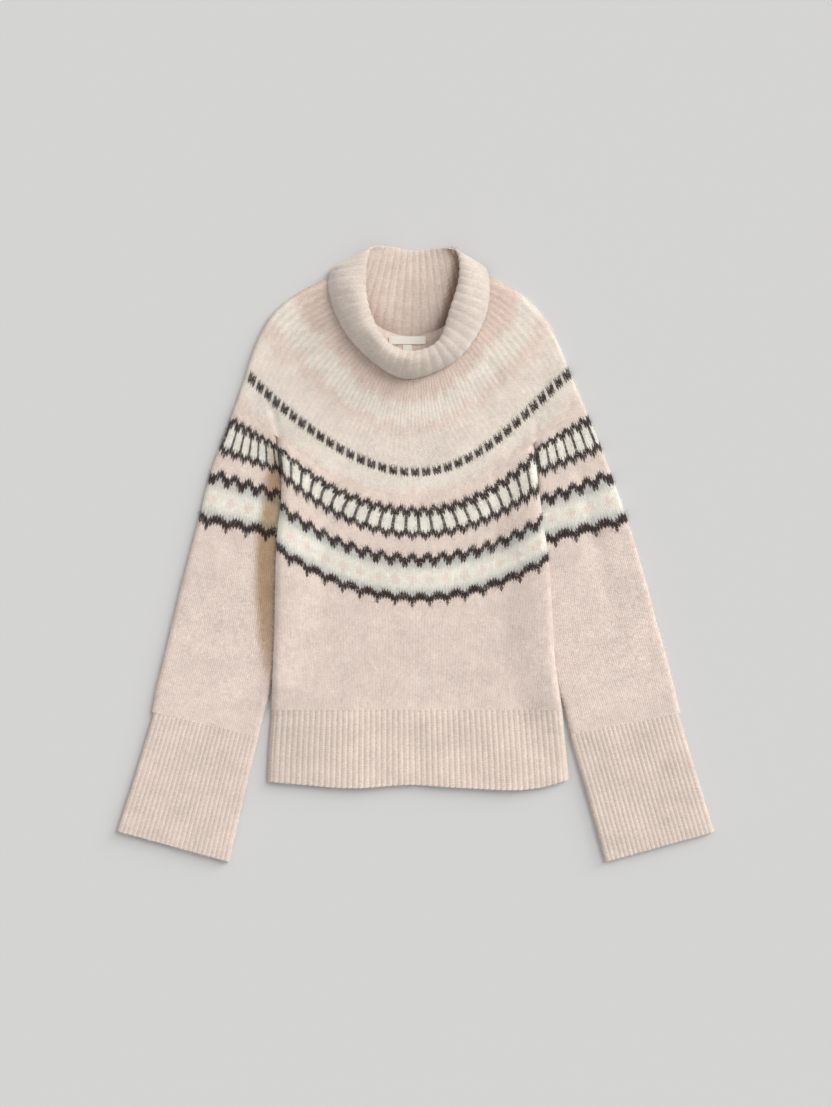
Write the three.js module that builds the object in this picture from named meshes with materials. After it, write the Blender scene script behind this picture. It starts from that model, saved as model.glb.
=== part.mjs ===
// Fair isle jumper with a round yoke and a turned-down roll neck, laid flat on its back.
// Millimetres, +Z up, +Y towards the collar, origin at the middle of the underside.
// Each piece of cloth is a wall of its own, with a small gap to its neighbours at the seams.
import * as THREE from 'three';

// Cloth
const WALL = 3.2;
const HALF_WALL = WALL / 2;
const SEAM_GAP = 0.3;
const BODY_HEIGHT = 9.4;
const SLEEVE_HEIGHT = 8.4;
const CUFF_HEIGHT = 8.6;
const HOLLOW = BODY_HEIGHT - 2 * WALL;

// Ribs
const RIB_RELIEF = 1.1;
const HEM_RIBS = 53;
const CUFF_RIBS = 21;
const COLLAR_RIBS = 72;
const COLLAR_WALL = 2.8;
const COLLAR_RELIEF = 0.6;

// Yoke rows from the neck seam down to the seam with the body and sleeves. The shoulder columns are
// where the folded edge of the cloth lies, the front and back columns are the middle of each layer.
const YOKE = [
  { leftX: -108.0, rightX: 95.0, shoulderY: 366.0, frontY: 248.0, backY: 288.0, curve: 0.75 },
  { leftX: -127.2, rightX: 112.6, shoulderY: 359.6, frontY: 224.0, backY: 258.0, curve: 0.85 },
  { leftX: -161.6, rightX: 141.7, shoulderY: 341.0, frontY: 199.5, backY: 228.0, curve: 0.9 },
  { leftX: -190.0, rightX: 167.0, shoulderY: 317.0, frontY: 175.0, backY: 198.0, curve: 0.93 },
  { leftX: -210.6, rightX: 186.8, shoulderY: 285.4, frontY: 151.0, backY: 168.0, curve: 0.95 },
  { leftX: -221.2, rightX: 198.7, shoulderY: 252.0, frontY: 127.0, backY: 138.0, curve: 0.97 },
  { leftX: -229.1, rightX: 211.3, shoulderY: 224.0, frontY: 103.0, backY: 108.0, curve: 0.99 },
  { leftX: -239.3, rightX: 222.1, shoulderY: 197.0, frontY: 79.0, backY: 79.0, curve: 1.0 },
];

// Side edges of the body. Tuck is how far the sleeve reaches in beneath the edge, and lift is how
// high the edge of the body lies over it.
const LEFT_SIDE = [
  { y: 170, edge: -185.6, tuck: -1.2, lift: 0 },
  { y: 153, edge: -184.5, tuck: -1.2, lift: 0 },
  { y: 112, edge: -178.4, tuck: -1.2, lift: 8.8 },
  { y: 70, edge: -178.6, tuck: 6, lift: 8.8 },
  { y: 30, edge: -183.4, tuck: 10, lift: 8.8 },
  { y: -22, edge: -186.0, tuck: 11, lift: 8.8 },
  { y: -97, edge: -187.3, tuck: 9, lift: 8.8 },
  { y: -150, edge: -189.4, tuck: 3, lift: 8.8 },
  { y: -175, edge: -190.4, tuck: -1.6, lift: 8.8 },
  { y: -215, edge: -192.0, tuck: -9.3, lift: 0 },
  { y: -252, edge: -194.7, tuck: -15.9, lift: 0 },
  { y: -312, edge: -197.6, tuck: -30, lift: 0 },
];
const RIGHT_SIDE = [
  { y: 165, edge: 154.3, tuck: -1.2, lift: 0 },
  { y: 146, edge: 156.0, tuck: -1.2, lift: 0 },
  { y: 105, edge: 160.3, tuck: -1.2, lift: 8.8 },
  { y: 66, edge: 165.2, tuck: 6, lift: 8.8 },
  { y: 30, edge: 170.2, tuck: 10, lift: 8.8 },
  { y: -9, edge: 176.0, tuck: 11, lift: 8.8 },
  { y: -75, edge: 180.3, tuck: 11, lift: 8.8 },
  { y: -140, edge: 184.1, tuck: 8, lift: 8.8 },
  { y: -178, edge: 189.0, tuck: 3, lift: 8.8 },
  { y: -196, edge: 191.8, tuck: -1.4, lift: 8.8 },
  { y: -239, edge: 197.0, tuck: -7.5, lift: 0 },
  { y: -312, edge: 203.4, tuck: -20, lift: 0 },
];
const LIFT_SLOPE = 26;
const SLEEVE_SEAM_STEP = 1.0;
const BODY_ROWS = 16;
const HEM_ROWS = 3;

// Sleeve sections from the yoke seam to the cuff. The outer end is a point on the outside edge of
// the sleeve, and the inner end lies beside or beneath the body at this height.
const LEFT_SLEEVE = [
  { outerX: -239.3, outerY: 197.0, innerY: 153.5 },
  { outerX: -255.0, outerY: 154.0, innerY: 124.0 },
  { outerX: -268.9, outerY: 118.5, innerY: 97.0 },
  { outerX: -279.5, outerY: 81.4, innerY: 62.0 },
  { outerX: -288.7, outerY: 44.4, innerY: 22.0 },
  { outerX: -307.3, outerY: -27.2, innerY: -48.0 },
  { outerX: -323.2, outerY: -90.7, innerY: -114.0 },
  { outerX: -332.5, outerY: -130.0, innerY: -150.0 },
  { outerX: -341.0, outerY: -164.0, innerY: -185.0 },
  { outerX: -350.8, outerY: -209.9, innerY: -241.9 },
];
const RIGHT_SLEEVE = [
  { outerX: 222.1, outerY: 197.0, innerY: 145.5 },
  { outerX: 240.5, outerY: 154.0, innerY: 119.0 },
  { outerX: 254.3, outerY: 118.5, innerY: 92.0 },
  { outerX: 267.5, outerY: 81.4, innerY: 58.0 },
  { outerX: 280.8, outerY: 44.4, innerY: 20.0 },
  { outerX: 303.3, outerY: -29.8, innerY: -50.0 },
  { outerX: 323.2, outerY: -104.0, innerY: -120.0 },
  { outerX: 334.0, outerY: -142.0, innerY: -160.0 },
  { outerX: 343.0, outerY: -178.0, innerY: -198.0 },
  { outerX: 351.0, outerY: -211.5, innerY: -239.5 },
];

// Cuff corners
const LEFT_CUFF = {
  topLeft: [-347.5, -210.6], topRight: [-208.0, -241.9], bottomLeft: [-396.6, -367.5], bottomRight: [-246.5, -408.0],
};
const RIGHT_CUFF = {
  topLeft: [203.5, -239.7], topRight: [348.5, -212.0], bottomLeft: [250.8, -408.0], bottomRight: [396.0, -368.5],
};
const CUFF_ROWS = 3;
const CUFF_DRAW = 0.6;

// Lower edge of the hem rib, and the seam above it
const HEM_SEAM_Y = -207.0;
const HEM_EDGE = [
  { x: -198, y: -301 }, { x: -165, y: -304 }, { x: -82, y: -309.8 }, { x: -8, y: -305.5 },
  { x: 60, y: -309.5 }, { x: 165, y: -309 }, { x: 204, y: -298.5 },
];

// Soft ridges (positive) and troughs (negative) in the upper layer of the cloth
const BODY_FOLDS = [
  { fromX: -70, fromY: -320, toX: -84, toY: -150, width: 26, height: 1.6 },
  { fromX: 4, fromY: -320, toX: -2, toY: -190, width: 13, height: -1.4 },
  { fromX: 120, fromY: -315, toX: 112, toY: -215, width: 22, height: 1.1 },
  { fromX: -150, fromY: 92, toX: -110, toY: 20, width: 24, height: -1.0 },
  { fromX: 128, fromY: 96, toX: 96, toY: 30, width: 22, height: -1.0 },
];
const LEFT_SLEEVE_FOLDS = [
  { fromX: -226, fromY: 120, toX: -232, toY: -20, width: 20, height: 0.7 },
  { fromX: -270, fromY: -60, toX: -290, toY: -180, width: 18, height: -0.9 },
];
const RIGHT_SLEEVE_FOLDS = [
  { fromX: 211, fromY: 150, toX: 237, toY: -8, width: 14, height: -1.2 },
  { fromX: 237, fromY: -8, toX: 264, toY: -115, width: 12, height: -1.0 },
];

// Collar, round from the front middle by the left shoulder, the back and the right shoulder. Fold is
// the rim of the roll, edge is the free edge of the turned-down layer, and stand is 1 where the
// roll stands up and 0 where it lies back flat on itself.
const COLLAR = [
  { foldX: -2.5, foldY: 263.5, edgeX: -7.9, edgeY: 232.5, stand: 1 },
  { foldX: -36.5, foldY: 275.0, edgeX: -51.4, edgeY: 250.5, stand: 1 },
  { foldX: -60.0, foldY: 312.0, edgeX: -93.5, edgeY: 295.0, stand: 1 },
  { foldX: -68.0, foldY: 354.0, edgeX: -114.5, edgeY: 351.0, stand: 0.9 },
  { foldX: -62.0, foldY: 400.0, edgeX: -99.0, edgeY: 381.0, stand: 0.5 },
  { foldX: -34.5, foldY: 404.8, edgeX: -42.0, edgeY: 334.0, stand: 0.08 },
  { foldX: -4.0, foldY: 399.5, edgeX: -5.0, edgeY: 312.0, stand: 0 },
  { foldX: 26.5, foldY: 402.5, edgeX: 32.0, edgeY: 334.0, stand: 0.08 },
  { foldX: 54.0, foldY: 399.0, edgeX: 83.0, edgeY: 380.0, stand: 0.5 },
  { foldX: 58.5, foldY: 364.0, edgeX: 96.0, edgeY: 354.0, stand: 0.9 },
  { foldX: 47.0, foldY: 322.0, edgeX: 87.0, edgeY: 304.0, stand: 1 },
  { foldX: 31.0, foldY: 279.0, edgeX: 51.0, edgeY: 256.0, stand: 1 },
];
const COLLAR_SEAM_STEP = 1.5;
const COLLAR_STEPS = [0, 1, 2, 2.55, 3, 3.45, 4, 5, 6];
const ROLL_HEIGHT = 38;
const ROLL_EDGE_HEIGHT = 13;
const LYING_INNER = 7.2;
const LYING_OUTER = 2.1;

// Label and size tab on the back neck seam
const LABEL = { x: -11.5, y: 282.5, width: 49, depth: 10.4, thick: 0.9 };
const TAB = { x: -11.5, y: 270.3, width: 12, depth: 13, thick: 0.7 };

// Materials
const cream = new THREE.MeshStandardMaterial({ color: 0xded0c4, roughness: 0.95, metalness: 0 });
const patterned = new THREE.MeshStandardMaterial({ color: 0xcdbdae, roughness: 0.95, metalness: 0 });
const ribbed = new THREE.MeshStandardMaterial({ color: 0xd8c8bb, roughness: 0.95, metalness: 0 });
const woven = new THREE.MeshStandardMaterial({ color: 0xf0ebe0, roughness: 0.8, metalness: 0 });

function mix(a, b, t) {
  return a + (b - a) * t;
}

function smoothstep(from, to, value) {
  const t = Math.min(1, Math.max(0, (value - from) / (to - from)));
  return t * t * (3 - 2 * t);
}

// Value of one column of a table at a place along its key column
function lookUp(table, key, column, place) {
  const falling = table[0][key] > table[table.length - 1][key];
  const side = falling ? -1 : 1;
  for (let i = 1; i < table.length; i += 1) {
    if (side * place <= side * table[i][key] || i === table.length - 1) {
      const span = table[i][key] - table[i - 1][key];
      const t = Math.min(1, Math.max(0, (place - table[i - 1][key]) / span));
      return mix(table[i - 1][column], table[i][column], t);
    }
  }
  return table[0][column];
}

// Height that the soft ridges and troughs add at a point
function foldHeight(folds, x, y) {
  let height = 0;
  for (const fold of folds) {
    const alongX = fold.toX - fold.fromX;
    const alongY = fold.toY - fold.fromY;
    const length = Math.hypot(alongX, alongY);
    const place = ((x - fold.fromX) * alongX + (y - fold.fromY) * alongY) / (length * length);
    const nearest = Math.min(1, Math.max(0, place));
    const away = Math.hypot(x - fold.fromX - nearest * alongX, y - fold.fromY - nearest * alongY);
    const fade = 1 - 0.45 * nearest;
    height += fold.height * fade * Math.exp(-((away / fold.width) ** 2));
  }
  return height;
}

// Closed mesh from a list of points and quads, with its faces pointing out
function closedMesh(name, points, quads, material) {
  const positions = new Float32Array(points.length * 3);
  points.forEach((point, i) => {
    positions.set([point.x, point.y, point.z], i * 3);
  });
  const triangles = [];
  let volume = 0;
  for (const [a, b, c, d] of quads) {
    triangles.push(a, b, c, a, c, d);
    volume += points[a].dot(new THREE.Vector3().crossVectors(points[b], points[c]));
    volume += points[a].dot(new THREE.Vector3().crossVectors(points[c], points[d]));
  }
  if (volume < 0) {
    triangles.reverse();
  }
  const geometry = new THREE.BufferGeometry();
  geometry.setAttribute('position', new THREE.BufferAttribute(positions, 3));
  geometry.setIndex(triangles);
  geometry.computeVertexNormals();
  const mesh = new THREE.Mesh(geometry, material);
  mesh.name = name;
  return mesh;
}

// Wall between an upper and a lower grid of points, closed along its four edges
function panelWall(name, columns, rows, upper, lower, material) {
  const points = [];
  for (const layer of [upper, lower]) {
    for (let j = 0; j <= rows; j += 1) {
      for (let i = 0; i <= columns; i += 1) {
        points.push(layer(i, j));
      }
    }
  }
  const stride = columns + 1;
  const top = (i, j) => j * stride + i;
  const under = (i, j) => (rows + 1) * stride + j * stride + i;
  const quads = [];
  for (let j = 0; j < rows; j += 1) {
    for (let i = 0; i < columns; i += 1) {
      quads.push([top(i, j), top(i + 1, j), top(i + 1, j + 1), top(i, j + 1)]);
      quads.push([under(i, j + 1), under(i + 1, j + 1), under(i + 1, j), under(i, j)]);
    }
    quads.push([under(0, j), top(0, j), top(0, j + 1), under(0, j + 1)]);
    quads.push([top(columns, j), under(columns, j), under(columns, j + 1), top(columns, j + 1)]);
  }
  for (let i = 0; i < columns; i += 1) {
    quads.push([under(i, 0), under(i + 1, 0), top(i + 1, 0), top(i, 0)]);
    quads.push([top(i, rows), top(i + 1, rows), under(i + 1, rows), under(i, rows)]);
  }
  return closedMesh(name, points, quads, material);
}

// Point moved out from the middle of the cloth, and kept on the surface that the jumper lies on
function onSurface(point, normal, distance) {
  const moved = point.clone().addScaledVector(normal, distance);
  moved.z = Math.max(0, moved.z);
  return moved;
}

// Wall of a tube from a grid of points in the middle of the cloth, which closes on itself across
// its columns. The outward and inward functions give the half thickness at each point.
function tubeWall(name, middle, outward, inward, material) {
  const rows = middle.length;
  const columns = middle[0].length;
  const points = [];
  const outside = [];
  const inside = [];
  for (let j = 0; j < rows; j += 1) {
    outside.push([]);
    inside.push([]);
    for (let i = 0; i < columns; i += 1) {
      const here = middle[j][i];
      const before = middle[j][(i + columns - 1) % columns];
      const after = middle[j][(i + 1) % columns];
      const above = middle[Math.max(0, j - 1)][i];
      const below = middle[Math.min(rows - 1, j + 1)][i];
      const stepOn = after.clone().sub(here).normalize().add(here.clone().sub(before).normalize());
      const stepDown = below.clone().sub(above);
      const normal = stepDown.cross(stepOn).normalize();
      outside[j].push(points.push(onSurface(here, normal, outward(i, j))) - 1);
      inside[j].push(points.push(onSurface(here, normal, -inward(i, j))) - 1);
    }
  }
  const quads = [];
  for (let i = 0; i < columns; i += 1) {
    const next = (i + 1) % columns;
    for (let j = 0; j < rows - 1; j += 1) {
      quads.push([outside[j][i], outside[j][next], outside[j + 1][next], outside[j + 1][i]]);
      quads.push([inside[j + 1][i], inside[j + 1][next], inside[j][next], inside[j][i]]);
    }
    quads.push([inside[0][i], inside[0][next], outside[0][next], outside[0][i]]);
    quads.push([outside[rows - 1][i], outside[rows - 1][next], inside[rows - 1][next], inside[rows - 1][i]]);
  }
  return closedMesh(name, points, quads, material);
}

// Columns round a flattened tube: across the upper layer, round one edge, back across the lower
// layer and round the other edge. Across is 0 at the first edge and 1 at the second.
function flatColumns(upperSteps, lowerSteps) {
  const columns = [];
  for (let k = 0; k <= upperSteps; k += 1) {
    columns.push({ across: k / upperSteps, turn: Math.PI / 2, rib: k % 2 });
  }
  for (const turn of [Math.PI / 4, 0, -Math.PI / 4]) {
    columns.push({ across: 1, turn, rib: 0 });
  }
  for (let k = lowerSteps; k >= 0; k -= 1) {
    columns.push({ across: k / lowerSteps, turn: -Math.PI / 2, rib: 0 });
  }
  for (const turn of [-Math.PI / 4, 0, Math.PI / 4]) {
    columns.push({ across: 0, turn, rib: 0 });
  }
  return columns;
}

// Point in the middle of the cloth of a flattened tube. The plan function gives a point of the
// section at a share of its width, in the upper or the lower layer.
function flatPoint(column, plan, width, height, fold) {
  const radius = (height - WALL) / 2;
  const bend = radius * (1 - Math.cos(column.turn)) / width;
  const flatShare = radius / width;
  let share = mix(flatShare, 1 - flatShare, column.across);
  if (Math.abs(column.turn) < Math.PI / 2) {
    share = column.across === 0 ? bend : 1 - bend;
  }
  const upper = column.turn >= 0;
  const [x, y] = plan(share, upper);
  const raised = column.turn === Math.PI / 2 ? fold(x, y) : 0;
  return new THREE.Vector3(x, y, height / 2 + radius * Math.sin(column.turn) + raised);
}

// Yoke
function yokeRow(place) {
  const index = Math.min(YOKE.length - 2, Math.floor(place));
  const t = place - index;
  const row = {};
  for (const column of Object.keys(YOKE[0])) {
    row[column] = mix(YOKE[index][column], YOKE[index + 1][column], t);
  }
  return row;
}

function yokePlan(row, share, upper) {
  const left = row.leftX + HALF_WALL;
  const right = row.rightX - HALF_WALL;
  const t = 2 * share - 1;
  const centreY = upper ? row.frontY : row.backY;
  const sag = (row.shoulderY - centreY) * Math.max(0, Math.cos(Math.PI * t / 2)) ** row.curve;
  return [mix(left, right, share), row.shoulderY - sag];
}

function makeYoke() {
  const columns = flatColumns(22, 18);
  const middle = YOKE.map((row, j) => {
    const width = row.rightX - row.leftX - WALL;
    const last = j === YOKE.length - 1;
    const shift = last ? SEAM_GAP : 0;
    return columns.map((column) => {
      const point = flatPoint(column, (share, upper) => yokePlan(row, share, upper), width, BODY_HEIGHT, () => 0);
      point.y += shift;
      return point;
    });
  });
  return tubeWall('yoke', middle, () => HALF_WALL, () => HALF_WALL, patterned);
}

// Lower edge of the yoke at a place across the jumper
function yokeSeamY(x) {
  const row = YOKE[YOKE.length - 1];
  const share = (x - row.leftX - HALF_WALL) / (row.rightX - row.leftX - WALL);
  return yokePlan(row, Math.min(1, Math.max(0, share)), true)[1];
}

// Body and hem. The distance to the nearer side edge sets how the cloth lies there.
function sideLift(side, y, inside) {
  const lift = lookUp(side, 'y', 'lift', y);
  const tuck = Math.max(0, lookUp(side, 'y', 'tuck', y));
  return lift * (1 - smoothstep(tuck + 2, tuck + LIFT_SLOPE, inside));
}

function bodyColumns(middleSteps) {
  const nearEdge = [0, 1.2, 3.5, 8, 15, 24, 34];
  const columns = nearEdge.map((inside) => ({ inside, side: -1 }));
  for (let k = 1; k < middleSteps; k += 1) {
    columns.push({ between: k / middleSteps, side: 0 });
  }
  return columns.concat(nearEdge.map((inside) => ({ inside, side: 1 })).reverse());
}

const EDGE_BAND = 34;

function bodyPlace(column, share, topY, bottomY) {
  const leftY = mix(topY(-184), bottomY(-197), share);
  const rightY = mix(topY(157), bottomY(203), share);
  const left = lookUp(LEFT_SIDE, 'y', 'edge', leftY);
  const right = lookUp(RIGHT_SIDE, 'y', 'edge', rightY);
  const band = column.band ?? EDGE_BAND;
  let x = mix(left + band, right - band, column.between ?? 0);
  if (column.side < 0) {
    x = left + column.inside;
  }
  if (column.side > 0) {
    x = right - column.inside;
  }
  const y = mix(topY(x), bottomY(x), share);
  const inside = Math.min(x - left, right - x);
  const lift = sideLift(LEFT_SIDE, y, x - left) + sideLift(RIGHT_SIDE, y, right - x);
  return { x, y, inside, lift };
}

function backUpper(place) {
  return place.lift + WALL;
}

function backLower(place) {
  return place.lift + 1.4 * (1 - smoothstep(0, 3.5, place.inside));
}

function frontLower(place, folds) {
  const open = smoothstep(0, 9, place.inside);
  const side = smoothstep(8, 24, place.inside);
  return place.lift + WALL + SEAM_GAP + (HOLLOW - SEAM_GAP) * open + side * foldHeight(folds, place.x, place.y);
}

function frontUpper(place, folds) {
  return frontLower(place, folds) + WALL - 2.0 * (1 - smoothstep(0, 3.5, place.inside));
}

function clothPanel(name, columns, rows, topY, bottomY, upperZ, lowerZ, material) {
  const place = (i, j) => bodyPlace(columns[i], j / rows, topY, bottomY);
  const upper = (i, j) => {
    const at = place(i, j);
    return new THREE.Vector3(at.x, at.y, upperZ(at));
  };
  const lower = (i, j) => {
    const at = place(i, j);
    return new THREE.Vector3(at.x, at.y, lowerZ(at));
  };
  return panelWall(name, columns.length - 1, rows, upper, lower, material);
}

const bodyTopY = (x) => yokeSeamY(x) - SEAM_GAP;
const bodyBottomY = () => HEM_SEAM_Y + SEAM_GAP / 2;
const hemTopY = () => HEM_SEAM_Y - SEAM_GAP / 2;
const hemBottomY = (x) => lookUp(HEM_EDGE, 'x', 'y', x);

function makeBodyFront() {
  const upper = (at) => frontUpper(at, BODY_FOLDS);
  const lower = (at) => frontLower(at, BODY_FOLDS);
  return clothPanel('body_front', bodyColumns(12), BODY_ROWS, bodyTopY, bodyBottomY, upper, lower, cream);
}

function makeBodyBack() {
  return clothPanel('body_back', bodyColumns(12), BODY_ROWS, bodyTopY, bodyBottomY, backUpper, backLower, cream);
}

// One column on each rib and one in each furrow
function hemColumns() {
  const columns = [];
  for (let k = 0; k <= 2 * HEM_RIBS; k += 1) {
    columns.push({ between: k / (2 * HEM_RIBS), band: 0, side: 0 });
  }
  return columns;
}

function makeHemFront() {
  const columns = hemColumns();
  const place = (i, j) => bodyPlace(columns[i], j / HEM_ROWS, hemTopY, hemBottomY);
  const upper = (i, j) => {
    const at = place(i, j);
    const rib = (i % 2 ? RIB_RELIEF : -0.3) * smoothstep(0, 3, at.inside);
    return new THREE.Vector3(at.x, at.y, frontUpper(at, BODY_FOLDS) + rib);
  };
  const lower = (i, j) => {
    const at = place(i, j);
    return new THREE.Vector3(at.x, at.y, frontLower(at, BODY_FOLDS));
  };
  return panelWall('hem_rib_front', columns.length - 1, HEM_ROWS, upper, lower, ribbed);
}

function makeHemBack() {
  const columns = bodyColumns(4);
  return clothPanel('hem_rib_back', columns, HEM_ROWS, hemTopY, hemBottomY, backUpper, backLower, ribbed);
}

// Sleeves. Side is -1 for the left sleeve and 1 for the right one.
function makeSleeve(name, sections, side, sideTable, folds) {
  const columns = flatColumns(14, 8);
  const middle = sections.map((section, j) => {
    const edge = lookUp(sideTable, 'y', 'edge', section.innerY);
    const tuck = lookUp(sideTable, 'y', 'tuck', section.innerY);
    const outer = new THREE.Vector2(section.outerX - side * HALF_WALL, section.outerY);
    const inner = new THREE.Vector2(edge - side * (tuck - HALF_WALL), section.innerY);
    const [left, right] = side < 0 ? [outer, inner] : [inner, outer];
    const top = j === 0;
    const bottom = j === sections.length - 1;
    const plan = (share) => {
      const point = left.clone().lerp(right, share);
      if (top) {
        point.y = yokeSeamY(point.x) - SLEEVE_SEAM_STEP;
      }
      if (bottom) {
        point.y += SEAM_GAP;
      }
      return [point.x, point.y];
    };
    const height = top ? BODY_HEIGHT : SLEEVE_HEIGHT;
    const fold = (x, y) => foldHeight(folds, x, y);
    return columns.map((column) => flatPoint(column, plan, left.distanceTo(right), height, fold));
  });
  return tubeWall(name, middle, () => HALF_WALL, () => HALF_WALL, cream);
}

// Cuffs
function makeCuff(name, corners) {
  const columns = flatColumns(2 * CUFF_RIBS, 8);
  const middle = [];
  for (let j = 0; j <= CUFF_ROWS; j += 1) {
    const down = j / CUFF_ROWS;
    const inset = HALF_WALL + CUFF_DRAW * Math.sin(Math.PI * down);
    const at = (top, bottom, side) => new THREE.Vector2(
      mix(top[0], bottom[0], down) + side * inset,
      mix(top[1], bottom[1], down) - SEAM_GAP,
    );
    const left = at(corners.topLeft, corners.bottomLeft, 1);
    const right = at(corners.topRight, corners.bottomRight, -1);
    const plan = (share) => left.clone().lerp(right, share).toArray();
    middle.push(columns.map((column) => flatPoint(column, plan, left.distanceTo(right), CUFF_HEIGHT, () => 0)));
  }
  const outward = (i) => HALF_WALL + RIB_RELIEF * columns[i].rib;
  return tubeWall(name, middle, outward, () => HALF_WALL, ribbed);
}

// Collar
function around(column, place) {
  const count = COLLAR.length;
  const index = Math.floor(place);
  const t = place - index;
  const value = (k) => COLLAR[((k % count) + count) % count][column];
  const [a, b, c, d] = [value(index - 1), value(index), value(index + 1), value(index + 2)];
  return 0.5 * (2 * b + (c - a) * t + (2 * a - 5 * b + 4 * c - d) * t * t + (3 * b - a - 3 * c + d) * t ** 3);
}

// Point of the neck seam, a quarter of the way round for each quarter of the table
function neckSeam(turnShare) {
  const row = YOKE[0];
  const next = YOKE[1];
  const radius = (BODY_HEIGHT - WALL) / 2;
  const quarter = COLLAR.length / 4;
  const angle = turnShare * Math.PI / (2 * quarter);
  const upper = Math.cos(angle) >= 0;
  const t = -Math.sin(angle);
  const share = (1 + t) / 2;
  const [x, y] = yokePlan(row, share, upper);
  const [nextX, nextY] = yokePlan(next, share, upper);
  const away = new THREE.Vector2(x - nextX, y - nextY).normalize().multiplyScalar(COLLAR_SEAM_STEP);
  const fromEdge = (1 - Math.abs(t)) * (row.rightX - row.leftX) / 2;
  const bend = Math.sqrt(Math.max(0, 1 - (1 - Math.min(1, fromEdge / radius)) ** 2));
  const z = BODY_HEIGHT / 2 + (upper ? 1 : -1) * radius * bend;
  return new THREE.Vector3(x + away.x, y + away.y, z);
}

function collarPath(turnShare) {
  const seam = neckSeam(turnShare);
  const stand = Math.min(1, Math.max(0, around('stand', turnShare)));
  const foldHeightHere = mix((LYING_INNER + LYING_OUTER) / 2, ROLL_HEIGHT, stand);
  const fold = new THREE.Vector3(around('foldX', turnShare), around('foldY', turnShare), foldHeightHere);
  const edgeHeight = mix(LYING_OUTER, ROLL_EDGE_HEIGHT, stand);
  const edge = new THREE.Vector3(around('edgeX', turnShare), around('edgeY', turnShare), edgeHeight);
  const between = (a, b, share, z) => new THREE.Vector3(mix(a.x, b.x, share), mix(a.y, b.y, share), z);
  return new THREE.CatmullRomCurve3([
    seam,
    between(seam, fold, mix(0.16, 0.55, stand), mix(LYING_INNER, 0.45 * ROLL_HEIGHT, stand)),
    between(seam, fold, mix(0.95, 0.97, stand), mix(LYING_INNER, 0.82 * ROLL_HEIGHT, stand)),
    fold,
    between(fold, edge, mix(0.06, 0.3, stand), mix(LYING_OUTER, 1.12 * ROLL_HEIGHT, stand)),
    between(fold, edge, mix(0.5, 0.8, stand), mix(LYING_OUTER, 0.85 * ROLL_HEIGHT, stand)),
    edge,
  ]);
}

function makeCollar() {
  const columns = 2 * COLLAR_RIBS;
  const middle = COLLAR_STEPS.map(() => []);
  const stands = [];
  for (let i = 0; i < columns; i += 1) {
    const turnShare = i * COLLAR.length / columns;
    const path = collarPath(turnShare);
    stands.push(Math.min(1, Math.max(0, around('stand', turnShare))));
    COLLAR_STEPS.forEach((step, j) => {
      middle[j].push(path.getPoint(step / 6));
    });
  }
  const rib = (i, j) => (i % 2 && j > 0 ? COLLAR_RELIEF : 0);
  const resting = (i, j) => (COLLAR_STEPS[j] > 3 ? smoothstep(0, 0.4, stands[i]) : 1);
  const outward = (i, j) => COLLAR_WALL / 2 + rib(i, j) * resting(i, j);
  const inward = (i, j) => COLLAR_WALL / 2 + rib(i, j);
  return tubeWall('collar', middle, outward, inward, ribbed);
}

// Label and tab
function makePatch(name, size) {
  const mesh = new THREE.Mesh(new THREE.BoxGeometry(size.width, size.depth, size.thick), woven);
  mesh.name = name;
  mesh.position.set(size.x, size.y, WALL + SEAM_GAP + size.thick / 2);
  return mesh;
}

const jumper = new THREE.Group();
jumper.add(makeYoke());
jumper.add(makeBodyFront());
jumper.add(makeBodyBack());
jumper.add(makeHemFront());
jumper.add(makeHemBack());
jumper.add(makeSleeve('sleeve_left', LEFT_SLEEVE, -1, LEFT_SIDE, LEFT_SLEEVE_FOLDS));
jumper.add(makeSleeve('sleeve_right', RIGHT_SLEEVE, 1, RIGHT_SIDE, RIGHT_SLEEVE_FOLDS));
jumper.add(makeCuff('cuff_left', LEFT_CUFF));
jumper.add(makeCuff('cuff_right', RIGHT_CUFF));
jumper.add(makeCollar());
jumper.add(makePatch('neck_label', LABEL));
jumper.add(makePatch('size_tab', TAB));

export default jumper;
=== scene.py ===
import math

import bpy
import numpy as np
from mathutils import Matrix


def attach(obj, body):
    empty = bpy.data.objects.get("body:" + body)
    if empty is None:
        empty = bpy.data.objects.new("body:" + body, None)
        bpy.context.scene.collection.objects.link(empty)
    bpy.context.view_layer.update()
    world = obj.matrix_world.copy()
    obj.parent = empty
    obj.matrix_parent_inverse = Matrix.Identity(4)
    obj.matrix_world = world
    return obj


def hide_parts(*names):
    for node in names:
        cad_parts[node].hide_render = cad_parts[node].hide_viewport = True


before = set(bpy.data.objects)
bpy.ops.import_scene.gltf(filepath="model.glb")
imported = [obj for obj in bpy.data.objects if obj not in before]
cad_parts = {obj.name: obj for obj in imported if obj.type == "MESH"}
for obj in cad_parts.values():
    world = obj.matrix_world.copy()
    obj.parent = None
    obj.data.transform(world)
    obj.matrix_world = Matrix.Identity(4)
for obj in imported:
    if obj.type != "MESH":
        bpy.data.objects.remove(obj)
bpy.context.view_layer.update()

MM = 0.001

# Camera straight above the jumper, as in the photograph
FRAME_HEIGHT_M = 1.4662
CAMERA_DISTANCE_M = 3.2
CLOTH_TOP_M = 0.008
SENSOR_MM = 36.0

camera_data = bpy.data.cameras.new("camera")
camera_data.sensor_width = SENSOR_MM
camera_data.lens = SENSOR_MM * CAMERA_DISTANCE_M / FRAME_HEIGHT_M
camera = bpy.data.objects.new("camera", camera_data)
camera.location = (0.0, 0.0, CAMERA_DISTANCE_M + CLOTH_TOP_M)
bpy.context.collection.objects.link(camera)
bpy.context.scene.camera = camera
bpy.context.scene.view_settings.view_transform = "Standard"

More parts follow.
